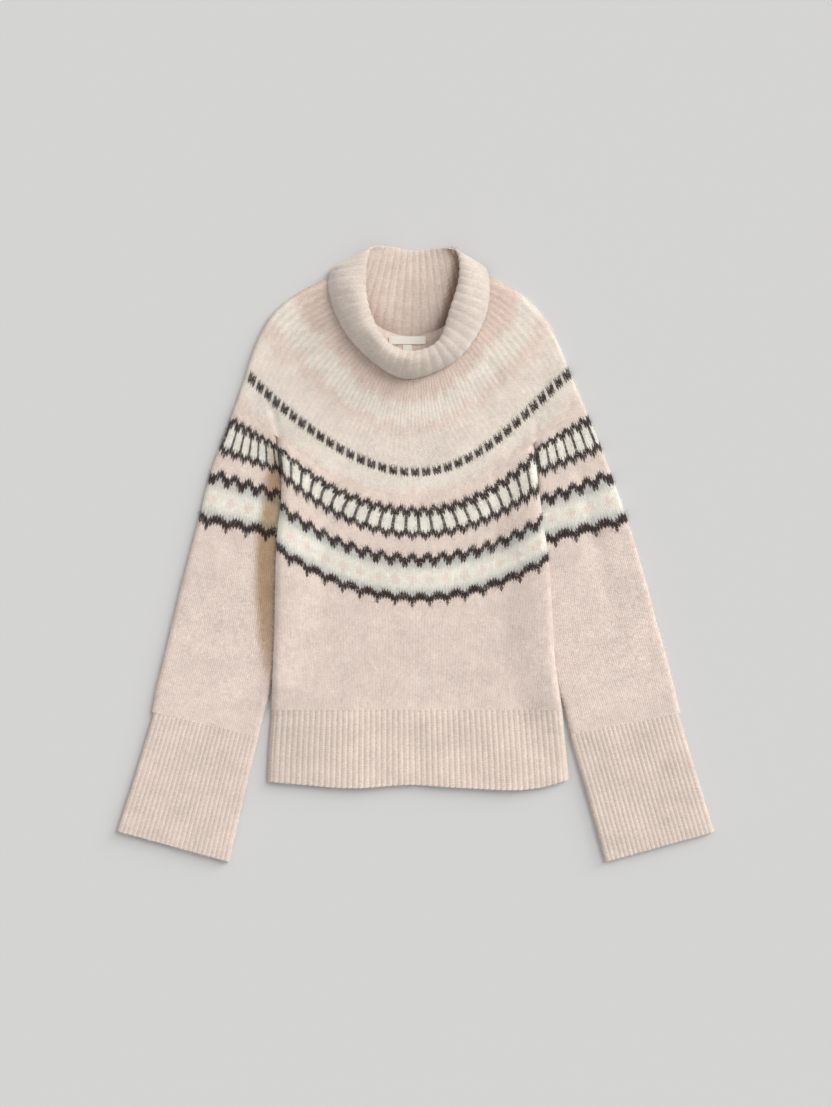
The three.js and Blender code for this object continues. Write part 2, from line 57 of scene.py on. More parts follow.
# Sizes of the cloth in millimetres
WALL = 3.2
BODY_HEIGHT = 9.4
SLEEVE_HEIGHT = 8.4
CUFF_HEIGHT = 8.6
HOLLOW = BODY_HEIGHT - 2 * WALL
SEAM_STEP = 0.3
EDGE_ROUNDING = 7.0
COLLAR_WALL = 2.8
RIB_RELIEF = 0.95
COLLAR_RELIEF = 0.7
HEM_RIBS = 53
CUFF_RIBS = 24
COLLAR_RIBS = 48

# Stitches across the front of each piece, and rows of stitches down it
YOKE_STITCHES = 136
YOKE_ROWS = 60
BODY_STITCHES = 92
SLEEVE_STITCHES = 26
CENTRE_STITCH = 46
STITCH_RISE = 1.3
WALE_RELIEF = 0.3

# Rows of the yoke over which its double wales at the neck divide in two
PAIRED_ROWS = (25, 36)

# The hidden inner face of a wall has one row for this many rows of the outer face
INNER_STEP = 4

# Share of a row that the narrow rows at the ends of a wall take up
NARROW_ROW = 0.05

# Length of the brushed fibres and how far they stand off the cloth
CLOTH_FIBRES = (7.5, 1.6)
RIB_FIBRES = (6.0, 1.5)
COLLAR_FIBRES = (7.0, 2.8)

# The painted shade of a furrow lies this share of a rib before it
FURROW_SHIFT = 0.5 / 6

# Shares of the width at which the hidden back panels have their columns, closer at the side edges
BACK_SHARES = np.concatenate([[0, 0.004, 0.01, 0.018], np.linspace(0.03, 0.97, 48), [0.982, 0.99, 0.996, 1]])

# Yoke rows from the neck seam to the lower seam. Skew moves the lowest point to the right.
YOKE = {
    "left": [-108.0, -127.2, -161.6, -190.0, -206.0, -218.0, -226.8, -239.3],
    "right": [95.0, 112.6, 141.7, 167.0, 182.4, 195.6, 206.8, 222.1],
    "shoulder": [366.0, 359.6, 341.0, 317.0, 291.0, 262.0, 233.0, 197.0],
    "front": [248.0, 224.0, 199.5, 175.0, 151.0, 127.0, 103.0, 79.0],
    "back": [288.0, 258.0, 228.0, 198.0, 168.0, 138.0, 108.0, 79.0],
    "curve": [0.75, 0.85, 0.9, 0.93, 0.97, 1.0, 1.0, 1.0],
    "skew": [0.0, 0.01, 0.02, 0.03, 0.04, 0.04, 0.04, 0.0],
    "lean": [0.0, 0.0, 0.0, 0.0, 0.05, 0.1, 0.1, 0.0],
    "spread": [0.0, -0.05, -0.08, -0.08, 0.0, 0.12, 0.17, 0.16],
}

# Side edges of the body from the top down: place, edge, tuck of the sleeve and lift over it
LEFT_SIDE = {
    "y": [170, 153, 112, 70, 30, -22, -97, -150, -175, -215, -252, -312],
    "edge": [-185.6, -184.5, -178.4, -178.6, -183.4, -186.0, -187.3, -189.4, -190.4, -192.0, -194.7, -197.6],
    "tuck": [-1.2, -1.2, -1.2, 6, 10, 11, 9, 3, -1.6, -9.3, -15.9, -30],
    "lift": [0, 0, 8.8, 8.8, 8.8, 8.8, 8.8, 8.8, 8.8, 0, 0, 0],
}
RIGHT_SIDE = {
    "y": [165, 146, 105, 66, 30, -9, -75, -140, -178, -196, -239, -312],
    "edge": [154.3, 156.0, 160.3, 165.2, 170.2, 176.0, 180.3, 184.1, 189.0, 191.8, 197.0, 203.4],
    "tuck": [-1.2, -1.2, -1.2, 6, 10, 11, 11, 8, 3, -1.4, -7.5, -20],
    "lift": [0, 0, 8.8, 8.8, 8.8, 8.8, 8.8, 8.8, 8.8, 8.8, 0, 0],
}
LIFT_SLOPE = 60.0

# Outer edges of the sleeves from the yoke seam to the cuff
LEFT_OUTER = {
    "y": [197.0, 154.0, 118.5, 81.4, 44.4, -27.2, -90.7, -130.0, -164.0, -209.9],
    "x": [-239.3, -255.0, -268.9, -279.5, -288.7, -307.3, -323.2, -332.5, -341.0, -350.8],
}
RIGHT_OUTER = {
    "y": [197.0, 154.0, 118.5, 81.4, 44.4, -29.8, -104.0, -142.0, -178.0, -211.5],
    "x": [222.1, 240.5, 254.3, 267.5, 280.8, 303.3, 323.2, 334.0, 343.0, 351.0],
}

# Courses of the sleeves: row of stitches, and its height at the outer and at the inner edge
LEFT_SLEEVE = {
    "row": [0, 2, 19, 23, 32, 42, 49, 76, 98, 120, 146],
    "outer": [197.0, 190.0, 132.0, 119.0, 95.0, 57.5, 36.5, -48.0, -109.0, -160.0, -209.9],
    "inner": [153.5, 150.5, 104.0, 90.0, 66.0, 34.5, 13.0, -68.0, -130.0, -188.0, -241.9],
}
RIGHT_SLEEVE = {
    "row": [0, 2, 19, 23, 32, 42, 49, 76, 98, 120, 146],
    "outer": [197.0, 191.0, 134.0, 119.0, 94.0, 55.5, 35.0, -32.0, -99.0, -157.0, -211.5],
    "inner": [145.5, 144.0, 101.0, 84.0, 59.0, 26.5, 5.5, -55.0, -120.0, -182.0, -239.5],
}

LEFT_CUFF = {"top": [(-347.5, -210.6), (-208.0, -241.9)], "bottom": [(-396.6, -367.5), (-246.5, -408.0)]}
RIGHT_CUFF = {"top": [(203.5, -239.7), (348.5, -212.0)], "bottom": [(250.8, -408.0), (396.0, -368.5)]}

# Seam above the hem rib, its rough lower edge for finding the sides, and the true lower edge
HEM_SEAM_Y = -207.0
HEM_LEVEL_Y = -304.0
HEM_X = [-198, -165, -82, -8, 60, 165, 204]
HEM_Y = [-301, -304, -309.8, -305.5, -309.5, -309, -298.5]

# Courses of the body: row of stitches, and its height at the middle and at both side edges
BODY = {
    "row": [0, 2, 19, 23, 32, 42, 49, 60, 72, 96],
    "middle": [79.0, 70.8, 19.6, 6.2, -16.4, -49.6, -68.4, -98.0, -134.0, -207.0],
    "left": [153.6, 149.8, 97.0, 77.0, 54.5, 18.0, -2.0, -48.0, -103.0, -207.0],
    "right": [149.4, 143.0, 79.0, 60.0, 37.0, 3.0, -16.0, -58.0, -107.0, -207.0],
    "spread": [-0.12, -0.09, 0.19, 0.12, 0.02, -0.02, -0.02, 0.0, 0.0, 0.0],
}
BODY_LOWEST_X = 1.0
BODY_CENTRE_X = -7.0

# Soft ridges and troughs: from x, from y, to x, to y, width and height
BODY_FOLDS = [
    (-70, -320, -84, -150, 26, 1.6),
    (4, -320, -2, -190, 13, -1.4),
    (120, -315, 112, -215, 22, 1.1),
    (-150, 92, -110, 20, 24, -1.0),
    (128, 96, 96, 30, 22, -1.0),
]

# Creases that run on from the yoke into the body and the sleeves
CREASES = [
    (98, 252, 117, 212, 9, -1.5),
    (-190, 192, -178, 140, 6, -2.6),
    (160, 176, 159, 140, 6, -1.6),
]
LEFT_SLEEVE_FOLDS = [(-226, 120, -232, -20, 20, 0.7), (-270, -60, -290, -180, 18, -0.9)]
RIGHT_SLEEVE_FOLDS = [
    (190, 162, 222, 96, 9, -1.6),
    (222, 96, 236, 15, 10, -1.6),
    (236, 15, 262, -95, 17, -2.8),
]

# Shade painted into the yarn in the fold where the body lies over the left sleeve: height, width of the shade
# and its strength
FOLD_SHADE = {
    "y": [178, 160, 125, 100, 25, -60, -110, -150, -185],
    "width": [4, 7, 15, 22, 27, 25, 21, 12, 4],
    "strength": [0.0, 0.3, 0.7, 1.0, 1.0, 1.0, 0.9, 0.6, 0.0],
}
# Colour that multiplies the yarn where the painted shade beside the body's edge is full
PAINTED_FOLD_SHADE_COLOUR = (0.6, 0.475, 0.345)
# Colour that multiplies the yarn where the painted shadow on the collar's inner wall is full
PAINTED_COLLAR_SHADOW_COLOUR = (0.49, 0.37, 0.29)

# Collar, round from the front middle by the left shoulder, the back and the right shoulder
COLLAR = {
    "fold_x": [-2.5, -36.5, -60.0, -68.0, -62.0, -34.5, -4.0, 26.5, 54.0, 58.5, 47.0, 31.0],
    "fold_y": [263.5, 275.0, 312.0, 354.0, 400.0, 404.8, 399.5, 402.5, 399.0, 364.0, 322.0, 279.0],
    "edge_x": [-7.9, -51.4, -93.5, -114.5, -99.0, -42.0, -5.0, 32.0, 83.0, 96.0, 87.0, 51.0],
    "edge_y": [232.5, 250.5, 295.0, 351.0, 381.0, 334.0, 312.0, 334.0, 380.0, 354.0, 304.0, 256.0],
    "stand": [1, 1, 1, 0.9, 0.5, 0.08, 0, 0.08, 0.5, 0.9, 1, 1],
}
ROLL_HEIGHT = 38.0
COLLAR_RIGHT_Y = [279.0, 322.0, 364.0, 385.0, 402.0]
COLLAR_RIGHT_X = [31.0, 47.0, 58.5, 60.0, 50.0]
ROLL_EDGE_HEIGHT = 13.0
LYING_INNER = 7.2
LYING_OUTER = 2.1


def linear(red, green, blue):
    """Linear colour from 0 to 255 display values."""
    values = np.array([red, green, blue]) / 255.0
    return np.where(values <= 0.04045, values / 12.92, ((values + 0.055) / 1.055) ** 2.4)


# Yarn colours
BODY_YARN = linear(232, 216, 206)
ROSE_YARN = linear(230, 211, 199)
CREAM_YARN = linear(238, 230, 219)
PINK_YARN = linear(234, 218, 207)
LIGHT_YARN = linear(240, 236, 225)
STRIPE_YARN = linear(236, 223, 212)
DARK_YARN = linear(54, 40, 38)
HALO_YARN = linear(156, 159, 160)
HEM_YARN = linear(228, 212, 200)
CUFF_YARN = linear(226, 210, 199)
COLLAR_YARN = linear(213, 195, 182)
ROLL_YARN = linear(210, 196, 184)


# Shared helpers
def smoothstep(start, end, value):
    share = np.clip((value - start) / (end - start), 0.0, 1.0)
    return share * share * (3.0 - 2.0 * share)


def mix(a, b, share):
    return a + (b - a) * share


def blend_curve(start, leaving, end, arriving, t):
    """Smooth curve from start to end with a given slope at each, at a share t of the way."""
    return (
        start * (2 * t**3 - 3 * t**2 + 1)
        + leaving * (t**3 - 2 * t**2 + t)
        + end * (3 * t**2 - 2 * t**3)
        + arriving * (t**3 - t**2)
    )


def curve_at(places, keys, values):
    """Smooth curve through a table, read at some places. Keys may rise or fall."""
    keys = np.array(keys, float)
    values = np.array(values, float)
    if keys[0] > keys[-1]:
        keys = keys[::-1]
        values = values[::-1]
    places = np.clip(places, keys[0], keys[-1])
    slopes = np.gradient(values, keys)
    index = np.clip(np.searchsorted(keys, places, side="right") - 1, 0, len(keys) - 2)
    span = keys[index + 1] - keys[index]
    t = (places - keys[index]) / span
    return blend_curve(values[index], slopes[index] * span, values[index + 1], slopes[index + 1] * span, t)


def straight_at(places, keys, values):
    """Straight lines through a table, read at some places. Keys may rise or fall."""
    if keys[0] > keys[-1]:
        keys = keys[::-1]
        values = values[::-1]
    return np.interp(places, keys, values)


def fold_height(folds, x, y):
    """Height that soft ridges and troughs add, strongest where each of them starts."""
    height = np.zeros_like(x)
    for from_x, from_y, to_x, to_y, width, rise in folds:
        along_x = to_x - from_x
        along_y = to_y - from_y
        place = ((x - from_x) * along_x + (y - from_y) * along_y) / (along_x**2 + along_y**2)
        place = np.clip(place, 0.0, 1.0)
        away = np.hypot(x - from_x - place * along_x, y - from_y - place * along_y)
        height = height + rise * (1 - 0.45 * place) * np.exp(-((away / width) ** 2))
    return height


def surface_normals(points, ring):
    """Unit normals of a grid of points, rows by columns, closed across its columns or not."""
    if ring:
        along = np.roll(points, -1, axis=1) - np.roll(points, 1, axis=1)
    else:
        along = np.gradient(points, axis=1)
    down = np.gradient(points, axis=0)
    normals = np.cross(down, along)
    return normals / np.maximum(np.linalg.norm(normals, axis=2, keepdims=True), 1e-9)


def with_narrow_end_rows(grid):
    """A narrow row more at each end, so that the shading of a cut edge stays at the edge."""
    after_first = mix(grid[:1], grid[1:2], NARROW_ROW)
    before_last = mix(grid[-1:], grid[-2:-1], NARROW_ROW)
    return np.concatenate([grid[:1], after_first, grid[1:-1], before_last, grid[-1:]])


def cloth_object(name, outer, inner, ring, material, colours, stitch_u, stitch_v, inner_step=INNER_STEP):
    """Closed wall of cloth between two grids of points in millimetres. The inner grid keeps fewer rows."""
    outer, inner, stitch_v = (with_narrow_end_rows(grid) for grid in (outer, inner, stitch_v))
    colours = np.concatenate([colours[:1], colours, colours[-1:]])
    rows, columns = outer.shape[:2]
    kept = np.unique(np.concatenate([np.arange(0, rows, inner_step), [rows - 1]]))
    inner = inner[kept]
    points = np.concatenate([outer.reshape(-1, 3), inner.reshape(-1, 3)]) * MM
    points[:, 2] = np.maximum(points[:, 2], 0.0)
    spans = columns if ring else columns - 1
    shift = rows * columns

    def quads(count, first):
        i, j = np.meshgrid(np.arange(spans), np.arange(count - 1))
        following = (i + 1) % columns
        here = j * columns
        below = here + columns
        quad = np.stack([here + i, here + following, below + following, below + i], -1)
        return quad.reshape(-1, 4) + first

    front = quads(rows, 0)
    back = quads(len(kept), shift)[:, ::-1]
    edge = np.arange(spans)
    following = (edge + 1) % columns
    last = (rows - 1) * columns
    last_inner = shift + (len(kept) - 1) * columns
    top = np.stack([shift + edge, shift + following, following, edge], -1)
    bottom = np.stack([last + edge, last + following, last_inner + following, last_inner + edge], -1)
    sides = []
    if not ring:
        for k in range(len(kept) - 1):
            fine = np.arange(kept[k], kept[k + 1] + 1) * columns
            coarse = shift + np.array([k + 1, k]) * columns
            sides.append([*fine, *coarse])
            sides.append([*(fine + columns - 1)][::-1] + [*(coarse + columns - 1)][::-1])
    faces = [*front.tolist(), *back.tolist(), *top.tolist(), *bottom.tolist(), *sides]
    mesh = bpy.data.meshes.new(name)
    mesh.from_pydata(points.tolist(), [], faces)
    corner = points[front]
    if np.cross(corner[:, 2] - corner[:, 0], corner[:, 3] - corner[:, 1])[:, 2].sum() < 0 and not ring:
        mesh.flip_normals()
    if ring:
        inward = points[front[:, 0]] - points[shift + front[:, 0] % columns]
        facing = np.cross(corner[:, 2] - corner[:, 0], corner[:, 3] - corner[:, 1])
        if (inward[:spans] * facing[:spans]).sum() < 0:
            mesh.flip_normals()
    sizes = np.zeros(len(faces), np.int64)
    mesh.polygons.foreach_get("loop_total", sizes)
    face_colours = np.ones((len(faces), 4))
    face_colours[:, :3] = colours[-1, -1]
    face_colours[: len(front), :3] = colours.reshape(-1, 3)
    face_colours[len(front) : len(front) + len(back), :3] = colours[kept[:-1]].reshape(-1, 3)
    first_rim = len(front) + len(back)
    face_colours[first_rim : first_rim + spans, :3] = colours[0]
    face_colours[first_rim + spans : first_rim + 2 * spans, :3] = colours[-1]
    for k in range(len(sides)):
        end = 0 if k % 2 == 0 else -1
        face_colours[first_rim + 2 * spans + k, :3] = colours[kept[k // 2], end]
    layer = mesh.color_attributes.new(name="yarn", type="FLOAT_COLOR", domain="CORNER")
    layer.data.foreach_set("color", np.repeat(face_colours, sizes, axis=0).ravel())

    vertex_ids = np.zeros(len(mesh.loops), np.int64)
    mesh.loops.foreach_get("vertex_index", vertex_ids)
    row_of_point = np.concatenate([np.repeat(np.arange(rows), columns), np.repeat(kept, columns)])
    column_of_point = np.tile(np.arange(columns), rows + len(kept))
    u = stitch_u[column_of_point[vertex_ids]]
    if ring:
        face_of_loop = np.repeat(np.arange(len(faces)), sizes)
        lowest = np.full(len(faces), np.inf)
        np.minimum.at(lowest, face_of_loop, u)
        highest = np.zeros(len(faces))
        np.maximum.at(highest, face_of_loop, u)
        whole = stitch_u.max() + 1.0
        wraps = (highest - lowest > whole / 2)[face_of_loop]
        u = np.where(wraps & (u < whole / 2), u + whole, u)
    uv_layer = mesh.uv_layers.new(name="stitches")
    uv_layer.data.foreach_set("uv", np.stack([u, stitch_v[row_of_point[vertex_ids]]], -1).ravel())
    smooth = np.zeros(len(faces), bool)
    smooth[:first_rim] = True
    mesh.polygons.foreach_set("use_smooth", smooth)
    mesh.materials.append(material)
    mesh.update()
    piece = bpy.data.objects.new(name, mesh)
    bpy.context.collection.objects.link(piece)
    return piece


def fuzz_object(name, outer, ring, colours, count, length, lift, material):
    """Thin brushed fibres that lie loose on the upper side of a grid of points in millimetres."""
    columns = outer.shape[1]
    following = np.roll(outer, -1, axis=1) if ring else outer[:, 1:]
    here = outer if ring else outer[:, :-1]
    corners = np.stack([here[:-1], following[:-1], following[1:], here[1:]], 2).reshape(-1, 4, 3)
    facing = np.cross(corners[:, 2] - corners[:, 0], corners[:, 3] - corners[:, 1])
    if not ring and facing[:, 2].sum() < 0:
        facing = -facing
    if ring:
        spokes = outer - outer.mean(axis=1, keepdims=True)
        if (facing.reshape(outer.shape[0] - 1, columns, 3) * spokes[:-1]).sum() < 0:
            facing = -facing
    area = np.linalg.norm(facing, axis=1)
    facing = facing / np.maximum(area[:, None], 1e-9)
    chance = area * (facing[:, 2] > -0.35)
    chosen = random.choice(len(area), count, p=chance / chance.sum())
    a, b = random.uniform(0, 1, (2, count, 1))
    corner = corners[chosen]
    root = mix(mix(corner[:, 0], corner[:, 1], a), mix(corner[:, 3], corner[:, 2], a), b)
    out = facing[chosen]
    heading = random.normal(0, 1, (count, 3))
    along = heading - (heading * out).sum(1, keepdims=True) * out
    along = along / np.linalg.norm(along, axis=1, keepdims=True)
    across = np.cross(out, along)
    reach = length * random.uniform(0.55, 1.3, (count, 1))
    rise = lift * random.uniform(0.1, 1.0, (count, 1)) ** 2
    bend = reach * random.normal(0, 0.16, (count, 1))
    width = random.uniform(0.07, 0.12, (count, 1))
    middle = root + along * reach * 0.5 + across * bend + out * rise
    tip = root + along * reach * 0.92 + out * (rise * random.uniform(0.2, 1.6, (count, 1)))
    points = np.stack([root - out * 0.1, middle - across * width, middle + across * width, tip], 1)
    points = points.reshape(-1, 3)
    points[:, 2] = np.maximum(points[:, 2], 0.05)
    first = np.arange(count)[:, None] * 4
    triangles = np.concatenate([first + [0, 1, 2], first + [1, 3, 2]], 1).reshape(-1)
    mesh = bpy.data.meshes.new(name)
    mesh.vertices.add(len(points))
    mesh.vertices.foreach_set("co", (points * MM).ravel())
    mesh.loops.add(len(triangles))
    mesh.loops.foreach_set("vertex_index", triangles)
    mesh.polygons.add(2 * count)
    mesh.polygons.foreach_set("loop_start", np.arange(2 * count) * 3)
    tone = random.uniform(0.94, 1.08, (count, 1))
    fibre_colours = np.ones((count, 4))
    fibre_colours[:, :3] = np.clip(colours.reshape(-1, 3)[chosen] * tone + 0.012, 0, 1)
    layer = mesh.color_attributes.new(name="yarn", type="FLOAT_COLOR", domain="POINT")
    layer.data.foreach_set("color", np.repeat(fibre_colours, 4, axis=0).ravel())
    mesh.materials.append(material)
    mesh.update(calc_edges=True)
    mesh.validate()
    piece = bpy.data.objects.new(name, mesh)
    bpy.context.collection.objects.link(piece)
    return piece


def brushed_cloth(name, faces, ring, material, colours, stitch_map, fibres, brush, inner_step=INNER_STEP):
    """A wall of cloth and its loose fibres. Brush is the length of the fibres and how far they stand off."""
    outer, inner = faces
    cloth = cloth_object(name + "_cloth", outer, inner, ring, material, colours, *stitch_map, inner_step)
    fuzz = fuzz_object(name + "_fuzz", outer, ring, colours, fibres, *brush, brushed_fibres)
    return cloth, fuzz


# Charts of the bands. Each row lists the stitches of the repeat that are knitted in dark yarn.
OVAL_CHART = [
    *([], [0], [3, 0, 1], [0, 1, 2, 3], [1, 2, 3], [1, 2, 3]),
    *[[2]] * 7,
    *([1, 2, 3], [0, 1, 2, 3], [3, 0, 1], [0]),
]
ZIGZAG_CHART = [[], [0], [4, 0, 1], [4, 0, 1], [0, 1, 2, 3, 4], [1, 2, 3, 4], [1, 2, 3, 4], [2, 3], [2, 3]]
BUMP_CHART = [[2, 3, 4], [1, 2, 3, 4, 5], [0, 1, 2, 3, 4, 5], [0, 1, 2, 3, 4, 5], [5, 0, 1], [0], [0]]
DASH_CHART = [[1, 3], [1, 2, 3], [1, 2, 3], [1, 2, 3]]
OVAL_REPEAT = 4
ZIGZAG_REPEAT = 5
BUMP_REPEAT = 6
DASH_REPEAT = 4

# First row of stitches of each band below the yoke seam
OVAL_TOP = 2
ZIGZAG_TOP = 23
BUMP_TOP = 42
HALO_DOWN = [0.34, 0.14, 0.03, 0.0, 0.0, 0.0, 0.0, 0.07, 0.24, 0.45]


def lower_yarn(row, stitch):
    """Yarn of one stitch of the body or a sleeve, counted from the yoke seam."""
    if OVAL_TOP <= row < OVAL_TOP + len(OVAL_CHART):
        step = row - OVAL_TOP
        place = stitch % OVAL_REPEAT
        if place in OVAL_CHART[step]:
            return DARK_YARN
        return PINK_YARN if step < 4 or step > 14 else LIGHT_YARN
    if ZIGZAG_TOP <= row < ZIGZAG_TOP + len(ZIGZAG_CHART):
        step = row - ZIGZAG_TOP
        place = stitch % ZIGZAG_REPEAT
        if place in ZIGZAG_CHART[step]:
            return DARK_YARN
        return PINK_YARN if step < 5 else mix(LIGHT_YARN, HALO_YARN, 0.5)
    first_halo = ZIGZAG_TOP + len(ZIGZAG_CHART)
    if first_halo <= row < BUMP_TOP:
        step = row - first_halo
        yarn = mix(LIGHT_YARN, HALO_YARN, HALO_DOWN[step])
        place = (stitch + 3) % BUMP_REPEAT - 3
        spot = abs(place) + abs(step - 4.5)
        return mix(yarn, PINK_YARN, 0.8 if spot < 2 else 0.0)
    if BUMP_TOP <= row < BUMP_TOP + len(BUMP_CHART):
        step = row - BUMP_TOP
        place = stitch % BUMP_REPEAT
        if place in BUMP_CHART[step]:
            return DARK_YARN
        return mix(LIGHT_YARN, HALO_YARN, 0.45) if step < 2 else BODY_YARN
    return BODY_YARN if row >= BUMP_TOP else PINK_YARN


# Rows of the yoke where each band ends, at the middle of the front and at the shoulder edge
ROSE_END = (15.4, 17.0)
CREAM_END = (25.6, 25.7)
PINK_END = (30.6, 33.5)
STRIPE_END = (46.0, 46.0)
DASH_TOP = 47
LOWER_CREAM_END = (57.4, 56.0)


def yoke_yarn(row, stitch, side, streak):
    """Yarn of one stitch of the yoke. Side is 0 at the middle and 1 at the shoulder edge."""
    if DASH_TOP <= row < DASH_TOP + len(DASH_CHART) and stitch % DASH_REPEAT in DASH_CHART[row - DASH_TOP]:
        return DARK_YARN
    row = row + streak
    bend = side**2
    soft = 1.6
    yarn = mix(ROSE_YARN, CREAM_YARN, smoothstep(-soft, soft, row - mix(*ROSE_END, bend)))
    yarn = mix(yarn, PINK_YARN, smoothstep(-soft, soft, row - mix(*CREAM_END, bend)))
    stripe = CREAM_YARN if stitch % 2 else STRIPE_YARN
    yarn = mix(yarn, stripe, smoothstep(-soft, soft, row - mix(*PINK_END, bend)))
    yarn = mix(yarn, CREAM_YARN, smoothstep(-0.8, 0.8, row - mix(*STRIPE_END, bend)))
    return mix(yarn, PINK_YARN, smoothstep(-soft, soft, row - mix(*LOWER_CREAM_END, bend)))


random = np.random.default_rng(7)


def chart_colours(rows, stitches):
    """Yarn of each stitch below the yoke seam, rows by stitches."""
    return np.array([[lower_yarn(row, stitch) for stitch in stitches] for row in rows])


def round_colours(front, stitch_colours, columns):
    """Colours all round a tube: the front as given, and the same stitches again over the back."""
    stitches = stitch_colours.shape[1]
    places = np.linspace(stitches - 1, 0, columns - 2 * stitches).astype(int)
    return np.concatenate([front, stitch_colours[:, places]], axis=1)


def brushed(colours):
    """Stitch colours with a little of their neighbours' yarn brushed over them."""
    padded = np.pad(colours, ((1, 1), (1, 1), (0, 0)), mode="edge")
    around = (padded[:-2, 1:-1] + padded[2:, 1:-1] + padded[1:-1, :-2] + padded[1:-1, 2:]) / 4
    share = random.uniform(0.04, 0.2, colours.shape[:2])[:, :, None]
    tone = random.normal(1.0, 0.035, colours.shape[:2])[:, :, None]
    return np.clip(mix(colours, around, share) * tone, 0.0, 1.0)


# Materials
def node(tree, kind, **settings):
    made = tree.nodes.new(kind)
    for key, value in settings.items():
        setattr(made, key, value)
    return made


def math_node(tree, operation, first, second=None):
    made = node(tree, "ShaderNodeMath", operation=operation)
    for index, value in enumerate((first, second)):
        if value is None:
            continue
        if isinstance(value, (int, float)):
            made.inputs[index].default_value = value
        else:
            tree.links.new(value, made.inputs[index])
    return made.outputs[0]


def new_material(name):
    material = bpy.data.materials.new(name)
    material.use_nodes = True
    tree = material.node_tree
    return material, tree, tree.nodes["Principled BSDF"]


def make_knit_group():
    """Height of stocking stitch from a map that counts stitches across and rows down."""
    group = bpy.data.node_groups.new("knit_stitches", "ShaderNodeTree")
    group.interface.new_socket(name="Stitches", in_out="INPUT", socket_type="NodeSocketVector")
    group.interface.new_socket(name="Height", in_out="OUTPUT", socket_type="NodeSocketFloat")
    start = node(group, "NodeGroupInput")
    end = node(group, "NodeGroupOutput")
    split = node(group, "ShaderNodeSeparateXYZ")
    group.links.new(start.outputs["Stitches"], split.inputs[0])
    across = math_node(group, "FRACT", split.outputs[0])
    off_centre = math_node(group, "ABSOLUTE", math_node(group, "SUBTRACT", across, 0.5))
    slant = math_node(group, "MULTIPLY", off_centre, 1.3)
    down = math_node(group, "FRACT", math_node(group, "ADD", split.outputs[1], slant))
    leg = math_node(group, "SINE", math_node(group, "MULTIPLY", off_centre, 2 * math.pi))
    loop = math_node(group, "SINE", math_node(group, "MULTIPLY", down, math.pi))
    leg = math_node(group, "POWER", leg, 0.7)
    loop = math_node(group, "POWER", loop, 0.5)
    height = math_node(group, "MULTIPLY", leg, loop)
    group.links.new(height, end.inputs["Height"])
    return group


def make_wool_group():
    """Marled tone and brushed fibres that vary over the cloth, from Object coordinates."""
    group = bpy.data.node_groups.new("brushed_wool", "ShaderNodeTree")
    for name in ("Marl", "Fibres"):
        group.interface.new_socket(name=name, in_out="OUTPUT", socket_type="NodeSocketFloat")
    end = node(group, "NodeGroupOutput")
    place = node(group, "ShaderNodeTexCoord")

    def noise(stretch, detail, rough, turn):
        mapping = node(group, "ShaderNodeMapping")
        mapping.inputs["Scale"].default_value = stretch
        mapping.inputs["Rotation"].default_value = (0.0, 0.0, turn)
        texture = node(group, "ShaderNodeTexNoise")
        texture.inputs["Scale"].default_value = 1.0
        texture.inputs["Detail"].default_value = detail
        texture.inputs["Roughness"].default_value = rough
        group.links.new(place.outputs["Object"], mapping.inputs["Vector"])
        group.links.new(mapping.outputs["Vector"], texture.inputs["Vector"])
        return texture.outputs["Fac"]

    marl = math_node(group, "MULTIPLY", noise((150, 620, 300), 4.0, 0.65, 0.0), 0.6)
    blotch = math_node(group, "MULTIPLY", noise((26, 34, 30), 2.0, 0.5, 0.4), 0.4)
    group.links.new(math_node(group, "ADD", marl, blotch), end.inputs["Marl"])
    hair_a = noise((420, 1900, 900), 2.0, 0.7, 0.5)
    hair_b = noise((1700, 480, 900), 2.0, 0.7, -0.3)
    group.links.new(math_node(group, "MAXIMUM", hair_a, hair_b), end.inputs["Fibres"])
    return group


def map_range(tree, value, from_low, from_high, to_low, to_high):
    made = node(tree, "ShaderNodeMapRange")
    made.inputs["From Min"].default_value = from_low
    made.inputs["From Max"].default_value = from_high
    made.inputs["To Min"].default_value = to_low
    made.inputs["To Max"].default_value = to_high
    tree.links.new(value, made.inputs["Value"])
    return made.outputs["Result"]


knit_group = make_knit_group()
wool_group = make_wool_group()


def tint_with_yarn(tree, tone):
    """Colours the shader with the yarn attribute, made deeper or lighter by a tone."""
    yarn = node(tree, "ShaderNodeAttribute", attribute_name="yarn")
    shade = node(tree, "ShaderNodeVectorMath", operation="SCALE")
    tree.links.new(yarn.outputs["Color"], shade.inputs[0])
    tree.links.new(tone, shade.inputs["Scale"])
    tree.links.new(shade.outputs["Vector"], tree.nodes["Principled BSDF"].inputs["Base Color"])


